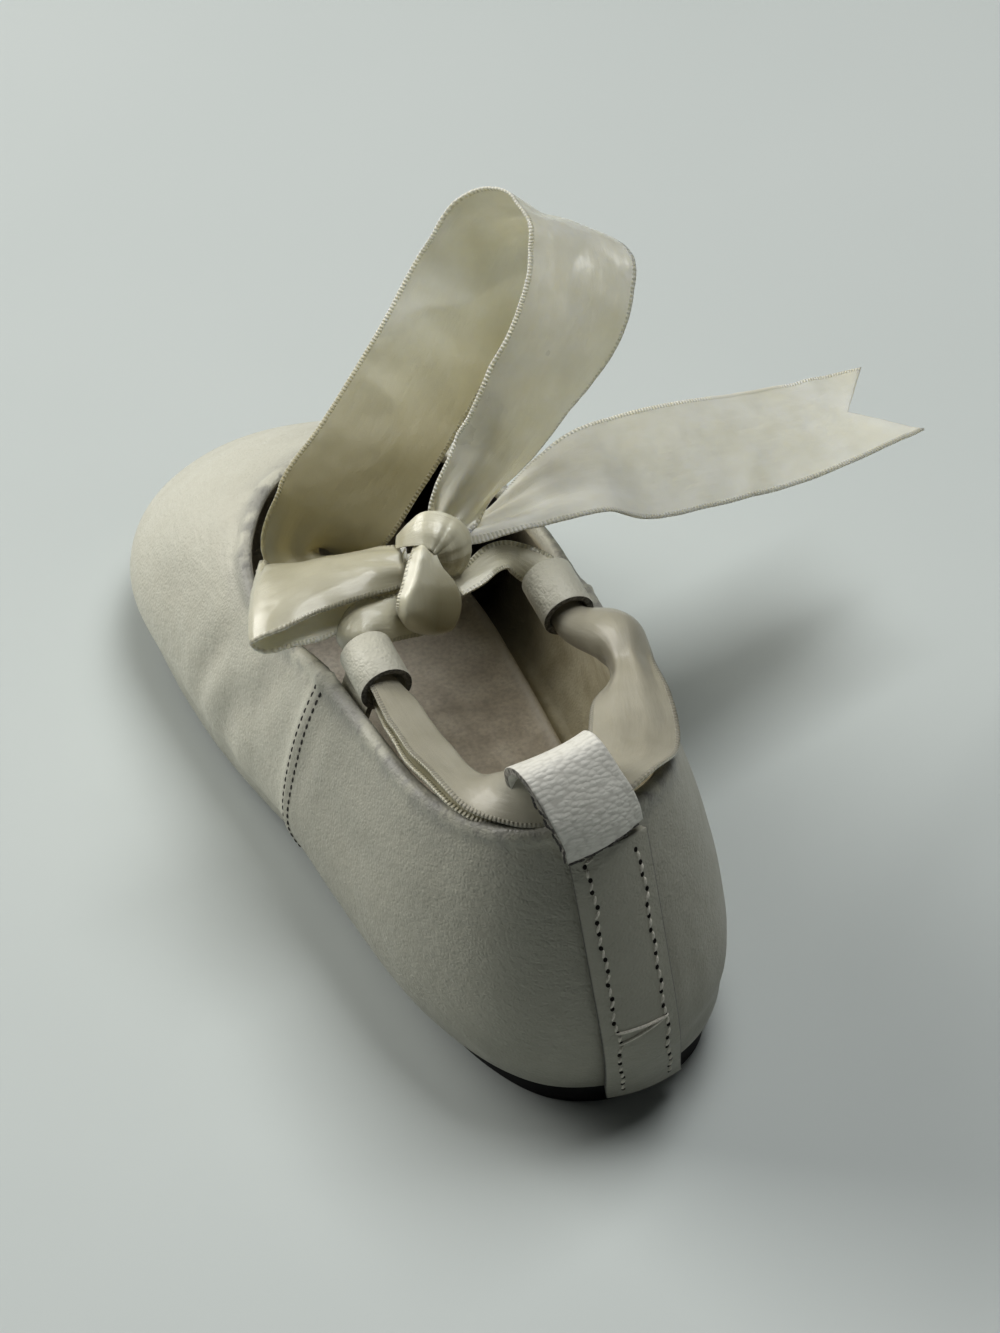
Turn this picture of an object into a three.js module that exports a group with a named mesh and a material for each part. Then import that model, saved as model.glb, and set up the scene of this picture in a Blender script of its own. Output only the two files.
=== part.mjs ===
// Baby mary jane shoe of soft leather, tied with a ribbon in place of a buckled strap: the left of a pair.
// Millimetres, +Z up, +Y to the toe, +X to the wearer's right, origin on the floor under the middle.
import * as THREE from 'three';

// Driving sizes of the last
const LENGTH = 123.5;
const BALL_WIDTH = 48.8;
const HEEL_HEIGHT = 49.8;
const INSTEP_HEIGHT = 36.2;

// Leather, sole and the gap left between pieces that touch
const WALL = 1.6;
const QUARTER_STEP = 0.5;
const LASTING_MARGIN = 4.5;
const SOLE_THICKNESS = 3.0;
const SOLE_INSET = 0.8;
const INSOLE_THICKNESS = 1.4;
const INSOLE_CLEARANCE = 2.2;
const GAP = 0.3;

// Bend of the sole along its length, and the sideways sway of the slack heel at its collar
const TOE_SPRING = { rise: 5.1, from: 0.72, to: 1.15 };
const ARCH_RISE = 0.9;
const ARCH = { from: 0.3, to: 0.6 };
const HEEL_SWAY = -7.2;
const SWAY_ENDS_AT = 0.69;

// Columns and rows of the faceted wall
const COLUMNS_PER_SECTION = 4;
const WALL_ROWS = 14;
const SEAM_HALF_WIDTH = 0.05;
const FOOT_CORNER_RISE = 1.15;
const BISECTIONS = 24;

// Sections of the last, from the back seam round one side to the toe. Each point is its half width as a share
// of half the ball width, its place as a share of the length, and its height as a share of the column of.
// foot: feather edge on the sole. swell: widest bulge. shoulder: where the side turns in. top: the opening.
const SECTIONS = [
  { at: 'back seam', of: HEEL_HEIGHT, foot: [0, 0.034], swell: [0, 0.003, 0.30],
    shoulder: [0, 0.016, 0.68], top: [0, 0.045, 1] },
  { at: 'heel corner', of: HEEL_HEIGHT, foot: [0.440, 0.066], swell: [0.540, 0.047, 0.30],
    shoulder: [0.504, 0.062, 0.66], top: [0.390, 0.078, 0.954] },
  { at: 'heel side', of: HEEL_HEIGHT, foot: [0.680, 0.166], swell: [0.830, 0.166, 0.30],
    shoulder: [0.770, 0.174, 0.61], top: [0.627, 0.178, 0.880] },
  { at: 'waist', of: HEEL_HEIGHT, foot: [0.721, 0.308], swell: [0.902, 0.308, 0.28],
    shoulder: [0.832, 0.316, 0.58], top: [0.689, 0.316, 0.823] },
  { at: 'side seam', of: HEEL_HEIGHT, foot: [0.770, 0.449], swell: [0.934, 0.445, 0.26],
    shoulder: [0.861, 0.429, 0.56], top: [0.721, 0.417, 0.789] },
  { at: 'instep', of: INSTEP_HEIGHT, foot: [0.844, 0.575], swell: [0.984, 0.575, 0.344],
    shoulder: [0.926, 0.567, 0.702], top: [0.787, 0.555, 0.956] },
  { at: 'ball', of: INSTEP_HEIGHT, foot: [0.877, 0.696], swell: [1.000, 0.704, 0.330],
    shoulder: [0.893, 0.684, 0.715], top: [0.680, 0.652, 0.962] },
  { at: 'toe side', of: INSTEP_HEIGHT, foot: [0.800, 0.830], swell: [0.940, 0.850, 0.303],
    shoulder: [0.717, 0.806, 0.702], top: [0.430, 0.714, 0.984] },
  { at: 'toe corner', of: INSTEP_HEIGHT, foot: [0.490, 0.925], swell: [0.600, 0.953, 0.289],
    shoulder: [0.410, 0.881, 0.647], top: [0.205, 0.737, 0.995] },
  { at: 'toe', of: INSTEP_HEIGHT, foot: [0, 0.960], swell: [0, 1, 0.275],
    shoulder: [0, 0.911, 0.619], top: [0, 0.745, 1] },
];
const SEAM_SECTION = 4;
const TURN = 2 * (SECTIONS.length - 1);
const TOE_TURN = SECTIONS.length - 1;

// Rise of the sole's underside over the floor at a place along the shoe
function soleRise(y) {
  const along = y / LENGTH;
  const spring = THREE.MathUtils.smoothstep(along, TOE_SPRING.from, TOE_SPRING.to) * TOE_SPRING.rise;
  const share = THREE.MathUtils.clamp((along - ARCH.from) / (ARCH.to - ARCH.from), 0, 1);
  return spring + ARCH_RISE * Math.sin(Math.PI * share) ** 2;
}

// The slack leather sways to the left over the sole at the heel, less and less towards the throat
function sway(point) {
  const fade = THREE.MathUtils.clamp(1 - point.y / (LENGTH * SWAY_ENDS_AT), 0, 1);
  const height = Math.max(point.z - SOLE_THICKNESS, 0) / HEEL_HEIGHT;
  return new THREE.Vector3(point.x + HEEL_SWAY * fade * Math.sqrt(height), point.y, point.z);
}

// One closed curve round the shoe through the same named point of every section
function ringThrough(column) {
  const place = (section, side) => {
    const [wide, along, high] = section[column];
    const y = along * LENGTH;
    const z = high === undefined ? SOLE_THICKNESS + GAP + soleRise(y) : high * section.of;
    return new THREE.Vector3(side * wide * BALL_WIDTH / 2, y, z);
  };
  const right = SECTIONS.map((section) => place(section, 1));
  const left = SECTIONS.slice(1, -1).reverse().map((section) => place(section, -1));
  return new THREE.CatmullRomCurve3([...right, ...left], true, 'centripetal');
}
const RINGS = ['foot', 'swell', 'shoulder', 'top'].map(ringThrough);

// Outer face of the upper: turn runs round the shoe in sections, rise from the feather edge (0) to the top (1)
function facePoint(turn, rise) {
  const share = THREE.MathUtils.euclideanModulo(turn, TURN) / TURN;
  const points = RINGS.map((ring) => ring.getPoint(share));
  const profile = new THREE.CatmullRomCurve3(points, false, 'centripetal');
  return sway(profile.getPoint(THREE.MathUtils.clamp(rise, 0, 1)));
}

const NORMAL_STEP = 0.01;
function faceNormal(turn, rise) {
  const low = Math.max(rise - NORMAL_STEP, 0);
  const high = Math.min(rise + NORMAL_STEP, 1);
  const round = facePoint(turn + NORMAL_STEP, rise).sub(facePoint(turn - NORMAL_STEP, rise));
  const up = facePoint(turn, high).sub(facePoint(turn, low));
  return round.cross(up).normalize();
}

// A point off the face: positive is out of the shoe
function offFace(turn, rise, distance) {
  return facePoint(turn, rise).addScaledVector(faceNormal(turn, rise), distance);
}

// Closed solid between two grids of points of one size. A ring's last column joins its first.
function solidBetween(outer, inner, isRing) {
  const columns = outer.length;
  const rows = outer[0].length;
  const positions = [];
  [...outer.flat(), ...inner.flat()].forEach((point) => positions.push(point.x, point.y, point.z));
  const index = [];
  const out = (column, row) => (column % columns) * rows + row;
  const back = (column, row) => columns * rows + out(column, row);
  const quad = (a, b, c, d) => index.push(a, b, c, a, c, d);
  const spans = isRing ? columns : columns - 1;
  for (let i = 0; i < spans; i += 1) {
    for (let j = 0; j < rows - 1; j += 1) {
      quad(out(i, j), out(i + 1, j), out(i + 1, j + 1), out(i, j + 1));
      quad(back(i, j), back(i, j + 1), back(i + 1, j + 1), back(i + 1, j));
    }
    quad(out(i, 0), back(i, 0), back(i + 1, 0), out(i + 1, 0));
    quad(out(i, rows - 1), out(i + 1, rows - 1), back(i + 1, rows - 1), back(i, rows - 1));
  }
  if (!isRing) {
    for (let j = 0; j < rows - 1; j += 1) {
      quad(out(0, j), out(0, j + 1), back(0, j + 1), back(0, j));
      quad(out(columns - 1, j), back(columns - 1, j), back(columns - 1, j + 1), out(columns - 1, j + 1));
    }
  }
  const geometry = new THREE.BufferGeometry();
  geometry.setAttribute('position', new THREE.Float32BufferAttribute(positions, 3));
  geometry.setIndex(index);
  geometry.computeVertexNormals();
  return geometry;
}

// Upper: the quarters stand a step proud of the vamp, so each side seam shows as a ridge in the wall
function upperColumns() {
  const seams = [SEAM_SECTION, TURN - SEAM_SECTION];
  const turns = [];
  for (let k = 0; k < TURN * COLUMNS_PER_SECTION; k += 1) {
    const turn = k / COLUMNS_PER_SECTION;
    if (seams.includes(turn)) {
      turns.push(turn - SEAM_HALF_WIDTH, turn + SEAM_HALF_WIDTH);
    } else {
      turns.push(turn);
    }
  }
  return turns;
}

function isQuarter(turn) {
  return turn < SEAM_SECTION || turn > TURN - SEAM_SECTION;
}

function upper() {
  const outer = [];
  const inner = [];
  for (const turn of upperColumns()) {
    const foot = facePoint(turn, 0);
    const inward = faceNormal(turn, 0).multiplyScalar(-1).setZ(0).normalize();
    const marginEdge = foot.clone().addScaledVector(inward, LASTING_MARGIN);
    marginEdge.z = SOLE_THICKNESS + GAP + soleRise(marginEdge.y);
    const lift = new THREE.Vector3(0, 0, WALL);
    const outside = [marginEdge, foot];
    const inside = [marginEdge.clone().add(lift), foot.clone().addScaledVector(inward, WALL).add(lift)];
    for (let row = 1; row <= WALL_ROWS; row += 1) {
      const rise = row / WALL_ROWS;
      outside.push(offFace(turn, rise, isQuarter(turn) ? QUARTER_STEP : 0));
      if (row > 1) inside.push(offFace(turn, rise, -WALL));
      else inside.push(offFace(turn, rise * FOOT_CORNER_RISE, -WALL));
    }
    outer.push(outside);
    inner.push(inside);
  }
  return solidBetween(outer, inner, true);
}

// A plate across the shoe between the same places of the right and left edge, such as the sole or insole
const PLATE_COLUMNS = 8;
const PLATE_ROWS = 30;
const PLATE_END = 0.35;
function plate(edgePoint, heightAt, thickness) {
  const top = [];
  const bottom = [];
  for (let i = 0; i <= PLATE_COLUMNS; i += 1) {
    top.push([]);
    bottom.push([]);
    for (let j = 0; j <= PLATE_ROWS; j += 1) {
      const turn = THREE.MathUtils.lerp(PLATE_END, TOE_TURN - PLATE_END, j / PLATE_ROWS);
      const point = edgePoint(-turn).lerp(edgePoint(turn), i / PLATE_COLUMNS);
      const height = heightAt(point.y);
      top[i].push(new THREE.Vector3(point.x, point.y, height + thickness));
      bottom[i].push(new THREE.Vector3(point.x, point.y, height));
    }
  }
  return solidBetween(top, bottom, false);
}

function soleEdge(turn) {
  const inward = faceNormal(turn, 0).setZ(0).normalize().multiplyScalar(-SOLE_INSET);
  return facePoint(turn, 0).add(inward);
}

const insoleHeight = (y) => SOLE_THICKNESS + WALL + 2 * GAP + soleRise(y);

// The share at which a test that is true at low stops being true
function turningPoint(low, high, isBelow) {
  let [from, to] = [low, high];
  for (let step = 0; step < BISECTIONS; step += 1) {
    const middle = (from + to) / 2;
    if (isBelow(middle)) from = middle;
    else to = middle;
  }
  return to;
}

// Inner face of the wall at the insole's height, so the insole fills the shoe from side to side
const INSOLE_BELOW_RISE = 0.5;
function insoleEdge(turn) {
  const height = insoleHeight(facePoint(turn, 0).y);
  const rise = turningPoint(0, INSOLE_BELOW_RISE, (share) => offFace(turn, share, -WALL).z < height);
  const inward = faceNormal(turn, rise).setZ(0).normalize().multiplyScalar(-INSOLE_CLEARANCE);
  return offFace(turn, rise, -WALL).add(inward);
}

// Heel strip: leather stitched over the back seam, from the sole to the collar
const STRIP = { width: 9.4, thickness: 1.0, from: 0.035, to: 0.93, columns: 6, rows: 14 };
function heelStrip() {
  const off = QUARTER_STEP + GAP;
  const outer = [];
  const inner = [];
  for (let i = 0; i <= STRIP.columns; i += 1) {
    outer.push([]);
    inner.push([]);
    for (let j = 0; j <= STRIP.rows; j += 1) {
      const rise = THREE.MathUtils.lerp(STRIP.from, STRIP.to, j / STRIP.rows);
      const seam = facePoint(0, rise);
      const half = turningPoint(0, 1, (turn) => facePoint(turn, rise).distanceTo(seam) < STRIP.width / 2);
      const turn = THREE.MathUtils.lerp(-half, half, i / STRIP.columns);
      outer[i].push(offFace(turn, rise, off + STRIP.thickness));
      inner[i].push(offFace(turn, rise, off));
    }
  }
  return solidBetween(outer, inner, false);
}

// A band swept through the rows of a table. place: its middle. across: from one edge to the other.
// cup: how far the edges stand back from the middle. round: 0 for a flat section, 1 for an oval one.
// notch: how far the middle of an end is cut back from its corners.
const BAND_COLUMNS = 4;
const FINE_STEPS = 4;
const MIDDLE_STEPS = 3;
const COARSE_STEPS = 2;
const OVAL_EDGE = 0.9;
function bandAlong(rows, stepsPerRow) {
  const through = (pick) => new THREE.CatmullRomCurve3(rows.map(pick), false, 'centripetal');
  const middle = through((row) => new THREE.Vector3(...row.place));
  const edges = through((row) => new THREE.Vector3(...row.across));
  const sizes = through((row) => new THREE.Vector3(row.width, row.thick, 0));
  const form = through((row) => new THREE.Vector3(row.cup ?? 0, row.round ?? 0, row.notch ?? 0));
  const steps = stepsPerRow * (rows.length - 1);
  const top = Array.from({ length: BAND_COLUMNS + 1 }, () => []);
  const bottom = Array.from({ length: BAND_COLUMNS + 1 }, () => []);
  for (let step = 0; step <= steps; step += 1) {
    const share = step / steps;
    const along = middle.getTangent(share);
    const across = edges.getPoint(share);
    across.addScaledVector(along, -across.dot(along)).normalize();
    const normal = across.clone().cross(along).normalize();
    const { x: width, y: thick } = sizes.getPoint(share);
    const { x: cup, y: round, z: spread } = form.getPoint(share);
    const notch = share === 1 ? spread : 0;
    for (let i = 0; i <= BAND_COLUMNS; i += 1) {
      const side = 2 * i / BAND_COLUMNS - 1;
      const half = thick / 2 * Math.sqrt(1 - OVAL_EDGE * THREE.MathUtils.clamp(round, 0, 1) * side * side);
      const point = middle.getPoint(share).addScaledVector(across, side * width / 2);
      point.addScaledVector(normal, -cup * side * side);
      point.addScaledVector(along, notch * (Math.abs(side) - 1));
      top[i].push(point.clone().addScaledVector(normal, half));
      bottom[i].push(point.clone().addScaledVector(normal, -half));
    }
  }
  return solidBetween(top, bottom, false);
}

// Heel loop: grained leather folded over the collar at the back seam, its ends outside and inside the heel
const LOOP_LEATHER = { width: 10.6, thick: 1.1 };
const HEEL_LOOP = [
  { at: 'outer end', place: [-6.9, 2.9, 47.5], cup: 0.9 },
  { at: 'collar', place: [-7.3, 3.4, 50.0], cup: 0.7 },
  { at: 'outer bend', place: [-8.6, 4.8, 53.6], cup: 0.4 },
  { at: 'top', place: [-10.1, 8.6, 57.2], cup: 0 },
  { at: 'inner bend', place: [-9.6, 12.6, 53.6], cup: -0.4 },
  { at: 'inner side', place: [-8.2, 11.8, 48.6], cup: -1.2 },
  { at: 'lining', place: [-6.6, 8.2, 43.0], cup: -2.0 },
  { at: 'inner end', place: [-6.2, 6.4, 38.5], cup: -2.0 },
].map((row) => ({ ...row, ...LOOP_LEATHER, across: [0.99, 0.1, 0] }));

// Side loops: a tab sewn inside the collar, rolled at its top into a tube that the ribbon runs through
const SIDE_LOOP = { length: 8.3, radius: 3.3, thickness: 0.8, tab: 9.5, overhang: 1.5, segments: 20 };
const LEFT_LOOP_LIFT = 3.6;
const RIGHT_LOOP_LIFT = 4.1;
const LEFT_LOOP_TURN = TURN - 3.6;
const RIGHT_LOOP_TURN = 3.72;
const LINING_RISE = 0.8;
function loopSeat(turn, lift) {
  const brink = offFace(turn, 1, -WALL);
  const up = brink.clone().sub(offFace(turn, LINING_RISE, -WALL)).normalize();
  const inward = faceNormal(turn, 1).multiplyScalar(-1);
  inward.addScaledVector(up, -inward.dot(up)).normalize();
  const axis = inward.clone().cross(up);
  const reach = GAP + SIDE_LOOP.radius - SIDE_LOOP.overhang;
  const middle = brink.clone().addScaledVector(inward, reach).addScaledVector(up, lift);
  const toeward = axis.y > 0 ? axis : axis.clone().multiplyScalar(-1);
  return { middle, inward, up, axis, toeward };
}

function sideLoop({ middle, inward, up, axis }) {
  const { length, radius, thickness, tab, overhang, segments } = SIDE_LOOP;
  const outside = overhang - radius;
  const inside = outside + thickness;
  const below = (across) => 2 * Math.PI - Math.acos(across / radius);
  const shape = new THREE.Shape();
  shape.moveTo(outside, -tab);
  shape.lineTo(inside, -tab);
  shape.absarc(0, 0, radius, below(inside), below(outside) + 2 * Math.PI, false);
  const bore = new THREE.Path();
  bore.absarc(0, 0, radius - thickness, 0, 2 * Math.PI, true);
  shape.holes.push(bore);
  const sizes = { depth: length, bevelEnabled: false, curveSegments: segments };
  const geometry = new THREE.ExtrudeGeometry(shape, sizes);
  geometry.translate(0, 0, -length / 2);
  const seat = new THREE.Matrix4().makeBasis(inward, up, axis).setPosition(middle);
  return geometry.applyMatrix4(seat);
}
const LEFT_LOOP = loopSeat(LEFT_LOOP_TURN, LEFT_LOOP_LIFT);
const RIGHT_LOOP = loopSeat(RIGHT_LOOP_TURN, RIGHT_LOOP_LIFT);
const inLoop = (loop, share) => {
  const place = loop.middle.clone().addScaledVector(loop.toeward, share * SIDE_LOOP.length / 2);
  return place.toArray();
};

// Ribbon round the collar: from the knot through the left, heel and right loops, and back to the knot
const GATHERED = { width: 4.0, thick: 2.6, round: 1 };
const RIBBON_COLLAR = [
  { at: 'knot, left', place: [-7.9, 53.0, 42.6], across: [-0.3, -0.5, -0.8],
    width: 5.4, thick: 1.6, round: 1 },
  { at: 'left bend', place: [-12.6, 53.6, 42.6], across: [-0.2, -0.7, -0.7],
    width: 5.0, thick: 2.0, round: 1 },
  { at: 'left loop, front', place: inLoop(LEFT_LOOP, 1.1), across: [0.7, 0, 0.7], ...GATHERED },
  { at: 'left loop', place: inLoop(LEFT_LOOP, 0), across: [0.7, 0, 0.7], ...GATHERED },
  { at: 'left loop, back', place: inLoop(LEFT_LOOP, -1.1), across: [0.7, 0, 0.7], ...GATHERED },
  { at: 'left run', place: [-15.8, 29.6, 45.2], across: [0.6, -0.3, 0.75], width: 7.4, thick: 0.8 },
  { at: 'left fold', place: [-16.2, 18.6, 48.2], across: [0.5, 0.1, 0.85],
    width: 6.0, thick: 1.4, round: 1 },
  { at: 'heel loop, left', place: [-15.8, 9.4, 52.2], across: [-0.1, 0.3, 0.95],
    width: 5.0, thick: 1.6, round: 1 },
  { at: 'heel loop', place: [-9.6, 8.4, 53.2], across: [-0.1, 0.3, 0.95],
    width: 4.6, thick: 1.8, round: 1 },
  { at: 'heel loop, right', place: [-4.0, 8.8, 52.8], across: [-0.2, 0.4, 0.9],
    width: 5.0, thick: 1.4, round: 1 },
  { at: 'right run', place: [7.0, 24.4, 46.6], across: [-0.7, 0.6, 0.35], width: 7.2, thick: 0.8 },
  { at: 'pinch', place: [9.8, 30.0, 46.2], across: [-0.8, 0.6, 0], width: 4.6, thick: 2.4, round: 1 },
  { at: 'roll', place: [11.2, 35.6, 45.8], across: [-0.98, 0.1, -0.15], width: 7.0, thick: 4.0, round: 1 },
  { at: 'right loop, back', place: inLoop(RIGHT_LOOP, -1.1), across: [-0.7, 0, -0.7], ...GATHERED },
  { at: 'right loop', place: inLoop(RIGHT_LOOP, 0), across: [-0.7, 0, -0.7], ...GATHERED },
  { at: 'right loop, front', place: inLoop(RIGHT_LOOP, 1.25), across: [-0.7, 0, -0.7], ...GATHERED },
  { at: 'arch', place: [6.8, 55.0, 45.2], across: [0.1, -0.7, -0.7], width: 4.4, thick: 0.9 },
  { at: 'knot, right', place: [2.4, 53.6, 43.4], across: [0.2, -0.6, -0.8],
    width: 4.2, thick: 1.4, round: 1 },
];

// Bow: a knot over the throat, a tall loop, a small flat loop to the left and a notched tail to the right
const KNOT = [
  { at: 'bottom', place: [-3.7, 52.6, 39.4], width: 3.6, thick: 2.2 },
  { at: 'lower swell', place: [-3.0, 54.2, 42.6], width: 8.4, thick: 6.0 },
  { at: 'waist', place: [-2.0, 56.2, 46.6], width: 6.4, thick: 5.6 },
  { at: 'upper swell', place: [-1.9, 57.3, 49.8], width: 8.8, thick: 6.4 },
  { at: 'top', place: [-1.4, 57.8, 52.4], width: 3.0, thick: 2.4 },
].map((row) => ({ ...row, across: [0.87, -0.49, 0], round: 1 }));

const RIBBON = { width: 15, thick: 0.7 };
const TALL_LOOP = [
  { at: 'knot, back', place: [-4.0, 59.4, 44.2], across: [0.3, 0.1, -0.9], width: 4, thick: 2.4, round: 1 },
  { at: 'neck', place: [-9.4, 64.2, 41.0], across: [0.5, 0.1, -0.8], width: 5, thick: 2.4, round: 1 },
  { at: 'tuck', place: [-14.0, 68.2, 42.6], across: [0.8, -0.3, -0.4], width: 9, thick: 1.4, round: 1 },
  { at: 'far low', place: [-11.0, 67.4, 47.6], across: [0.78, -0.52, -0.35], ...RIBBON },
  { at: 'far middle', place: [-4.2, 69.8, 52.6], across: [0.78, -0.52, -0.35], ...RIBBON },
  { at: 'far high', place: [5.7, 74.8, 59.2], across: [0.78, -0.50, -0.38], ...RIBBON },
  { at: 'far top', place: [14.6, 78.6, 68.0], across: [0.78, -0.42, -0.45], ...RIBBON },
  { at: 'crest, far', place: [18.9, 78.8, 73.9], across: [0.79, -0.34, -0.51], ...RIBBON },
  { at: 'crest', place: [22.6, 73.6, 77.6], across: [0.79, -0.34, -0.51], ...RIBBON },
  { at: 'near top', place: [22.9, 66.9, 77.6], across: [0.79, -0.30, -0.53], ...RIBBON },
  { at: 'near high', place: [19.0, 61.2, 72.4], across: [0.80, -0.18, -0.57], ...RIBBON },
  { at: 'near middle', place: [12.8, 58.9, 65.3], across: [0.8, -0.12, -0.59],
    width: 13.4, thick: 0.8, cup: 1 },
  { at: 'near low', place: [7.8, 58.2, 58.8], across: [0.82, -0.2, -0.5], width: 11, thick: 1.0, cup: 2 },
  { at: 'knot, top', place: [1.7, 57.8, 51.9], across: [0.85, -0.4, -0.3],
    width: 6.4, thick: 1.6, cup: 1.6 },
];
const FLAT_LOOP = [
  { at: 'knot, upper', place: [-6.0, 56.4, 47.8], across: [-0.5, -0.83, 0.25],
    width: 7, thick: 1.2, cup: 1 },
  { at: 'upper layer', place: [-12.2, 55.8, 47.6], across: [-0.54, -0.83, 0.13],
    width: 13, thick: 0.8, cup: 0.6 },
  { at: 'upper left', place: [-18.8, 57.4, 46.2], across: [-0.55, -0.83, 0.05], ...RIBBON },
  { at: 'fold, top', place: [-24.4, 59.6, 45.2], across: [-0.5, -0.86, 0.03], ...RIBBON },
  { at: 'fold', place: [-25.8, 60.2, 43.8], across: [-0.48, -0.87, 0], ...RIBBON },
  { at: 'fold, under', place: [-24.2, 59.8, 42.5], across: [-0.5, -0.86, 0], ...RIBBON },
  { at: 'lower left', place: [-18.6, 58.2, 42.9], across: [-0.52, -0.85, 0], width: 14, thick: 0.7 },
  { at: 'lower layer', place: [-13.0, 58.0, 44.6], across: [-0.5, -0.86, 0.1], width: 8.6, thick: 0.8 },
  { at: 'knot, lower', place: [-7.2, 57.8, 46.0], across: [-0.5, -0.83, 0.25], width: 4, thick: 1 },
];
const TAIL = [
  { at: 'knot, right', place: [2.6, 56.8, 48.4], across: [-0.4, -0.84, 0.35],
    width: 4.4, thick: 1.6, cup: 1 },
  { at: 'gather', place: [9.4, 57.4, 48.9], across: [-0.45, -0.86, 0.2], width: 8, thick: 1.2, cup: 1 },
  { at: 'arch', place: [19.6, 59.8, 47.9], across: [-0.46, -0.88, 0.1], width: 14, thick: 0.8, cup: 0.8 },
  { at: 'over the collar', place: [28.4, 61.3, 45.0], across: [-0.48, -0.86, -0.16], ...RIBBON },
  { at: 'droop', place: [39.2, 63.5, 41.5], across: [-0.49, -0.86, -0.18], ...RIBBON },
  { at: 'low', place: [50.2, 65.6, 38.0], across: [-0.46, -0.88, -0.07], ...RIBBON },
  { at: 'notched end', place: [71.0, 71.0, 32.2], across: [-0.3, -0.94, 0.15], ...RIBBON, notch: 8.5 },
];

function material(color, roughness) {
  return new THREE.MeshStandardMaterial({ color, roughness, metalness: 0 });
}
const IVORY_LEATHER = material(0xe9e5da, 0.5);
const BLACK_SOLE = material(0x17171a, 0.8);
const SUEDE = material(0x8e868a, 0.95);
const GRAINED_LEATHER = material(0xe6e4de, 0.6);
const SATIN = material(0xe3dfc9, 0.35);

const body = new THREE.Group();
const bow = new THREE.Group();
function add(group, name, geometry, finish) {
  const mesh = new THREE.Mesh(geometry, finish);
  mesh.name = name;
  group.add(mesh);
}

add(body, 'outsole', plate(soleEdge, soleRise, SOLE_THICKNESS), BLACK_SOLE);
add(body, 'insole', plate(insoleEdge, insoleHeight, INSOLE_THICKNESS), SUEDE);
add(body, 'upper', upper(), IVORY_LEATHER);
add(body, 'heel_strip', heelStrip(), IVORY_LEATHER);
add(body, 'heel_loop', bandAlong(HEEL_LOOP, FINE_STEPS), GRAINED_LEATHER);
add(body, 'side_loop_left', sideLoop(LEFT_LOOP), IVORY_LEATHER);
add(body, 'side_loop_right', sideLoop(RIGHT_LOOP), IVORY_LEATHER);
add(body, 'ribbon_collar', bandAlong(RIBBON_COLLAR, FINE_STEPS), SATIN);
add(bow, 'ribbon_knot', bandAlong(KNOT, MIDDLE_STEPS), SATIN);
add(bow, 'ribbon_tall_loop', bandAlong(TALL_LOOP, MIDDLE_STEPS), SATIN);
add(bow, 'ribbon_flat_loop', bandAlong(FLAT_LOOP, MIDDLE_STEPS), SATIN);
add(bow, 'ribbon_tail', bandAlong(TAIL, COARSE_STEPS), SATIN);

// The origin goes on the floor under the middle of the shoe's own box, without the bow
const shoe = new THREE.Group();
shoe.add(body, bow);
const box = new THREE.Box3().setFromObject(body);
const middle = box.getCenter(new THREE.Vector3());
shoe.position.set(-middle.x, -middle.y, -box.min.z);
shoe.updateMatrixWorld(true);

export default shoe;
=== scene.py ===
import math

import bmesh
import bpy
import numpy as np
from mathutils import Matrix, Vector, noise
from mathutils.bvhtree import BVHTree
from mathutils.kdtree import KDTree


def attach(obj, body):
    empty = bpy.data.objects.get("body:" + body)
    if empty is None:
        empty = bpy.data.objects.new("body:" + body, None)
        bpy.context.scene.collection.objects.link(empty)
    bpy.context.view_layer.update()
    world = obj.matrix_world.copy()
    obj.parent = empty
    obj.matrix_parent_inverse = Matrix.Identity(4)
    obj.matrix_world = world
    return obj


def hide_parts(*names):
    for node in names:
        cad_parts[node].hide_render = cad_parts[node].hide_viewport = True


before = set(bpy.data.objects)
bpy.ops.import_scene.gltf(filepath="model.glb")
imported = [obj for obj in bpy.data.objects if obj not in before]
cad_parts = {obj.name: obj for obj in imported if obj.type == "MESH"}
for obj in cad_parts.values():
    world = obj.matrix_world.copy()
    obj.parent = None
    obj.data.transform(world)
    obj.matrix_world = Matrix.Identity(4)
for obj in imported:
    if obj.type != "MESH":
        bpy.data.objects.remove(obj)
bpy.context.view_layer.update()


# Outsole: a thin flat sole of black rubber, cut to the lasted shoe and glued under the turned-in leather.
# Its edge is trimmed square and then dulled, and the tread is scuffed grey where it has been walked on.
def piece_like(node, name):
    """A new piece in the shape of a node, with its corners merged and its triangles joined into quads."""
    piece = bpy.data.objects.new(name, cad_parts[node].data.copy())
    bpy.context.collection.objects.link(piece)
    bpy.ops.object.select_all(action="DESELECT")
    piece.select_set(True)
    bpy.context.view_layer.objects.active = piece
    piece.data.materials.clear()
    bpy.ops.mesh.customdata_custom_splitnormals_clear()
    bpy.ops.object.mode_set(mode="EDIT")
    bpy.ops.mesh.select_all(action="SELECT")
    bpy.ops.mesh.remove_doubles(threshold=2e-6)
    bpy.ops.mesh.tris_convert_to_quads(face_threshold=math.pi, shape_threshold=math.pi)
    bpy.ops.mesh.select_all(action="DESELECT")
    return piece


def keep_edges(sharpness, weight):
    """In edit mode, keeps the piece's cut edges crisp under the subdivision that follows."""
    bpy.ops.mesh.select_mode(type="EDGE")
    bpy.ops.mesh.edges_select_sharp(sharpness=math.radians(sharpness))
    bpy.ops.transform.edge_crease(value=weight)
    bpy.ops.mesh.select_all(action="DESELECT")


def round_off(piece, levels):
    """Back in object mode, rounds the piece with an applied subdivision and shades it smooth."""
    bpy.ops.object.mode_set(mode="OBJECT")
    rounding = piece.modifiers.new("rounding", "SUBSURF")
    rounding.levels = rounding.render_levels = levels
    bpy.ops.object.modifier_apply(modifier=rounding.name)
    bpy.ops.object.shade_smooth()


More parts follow.
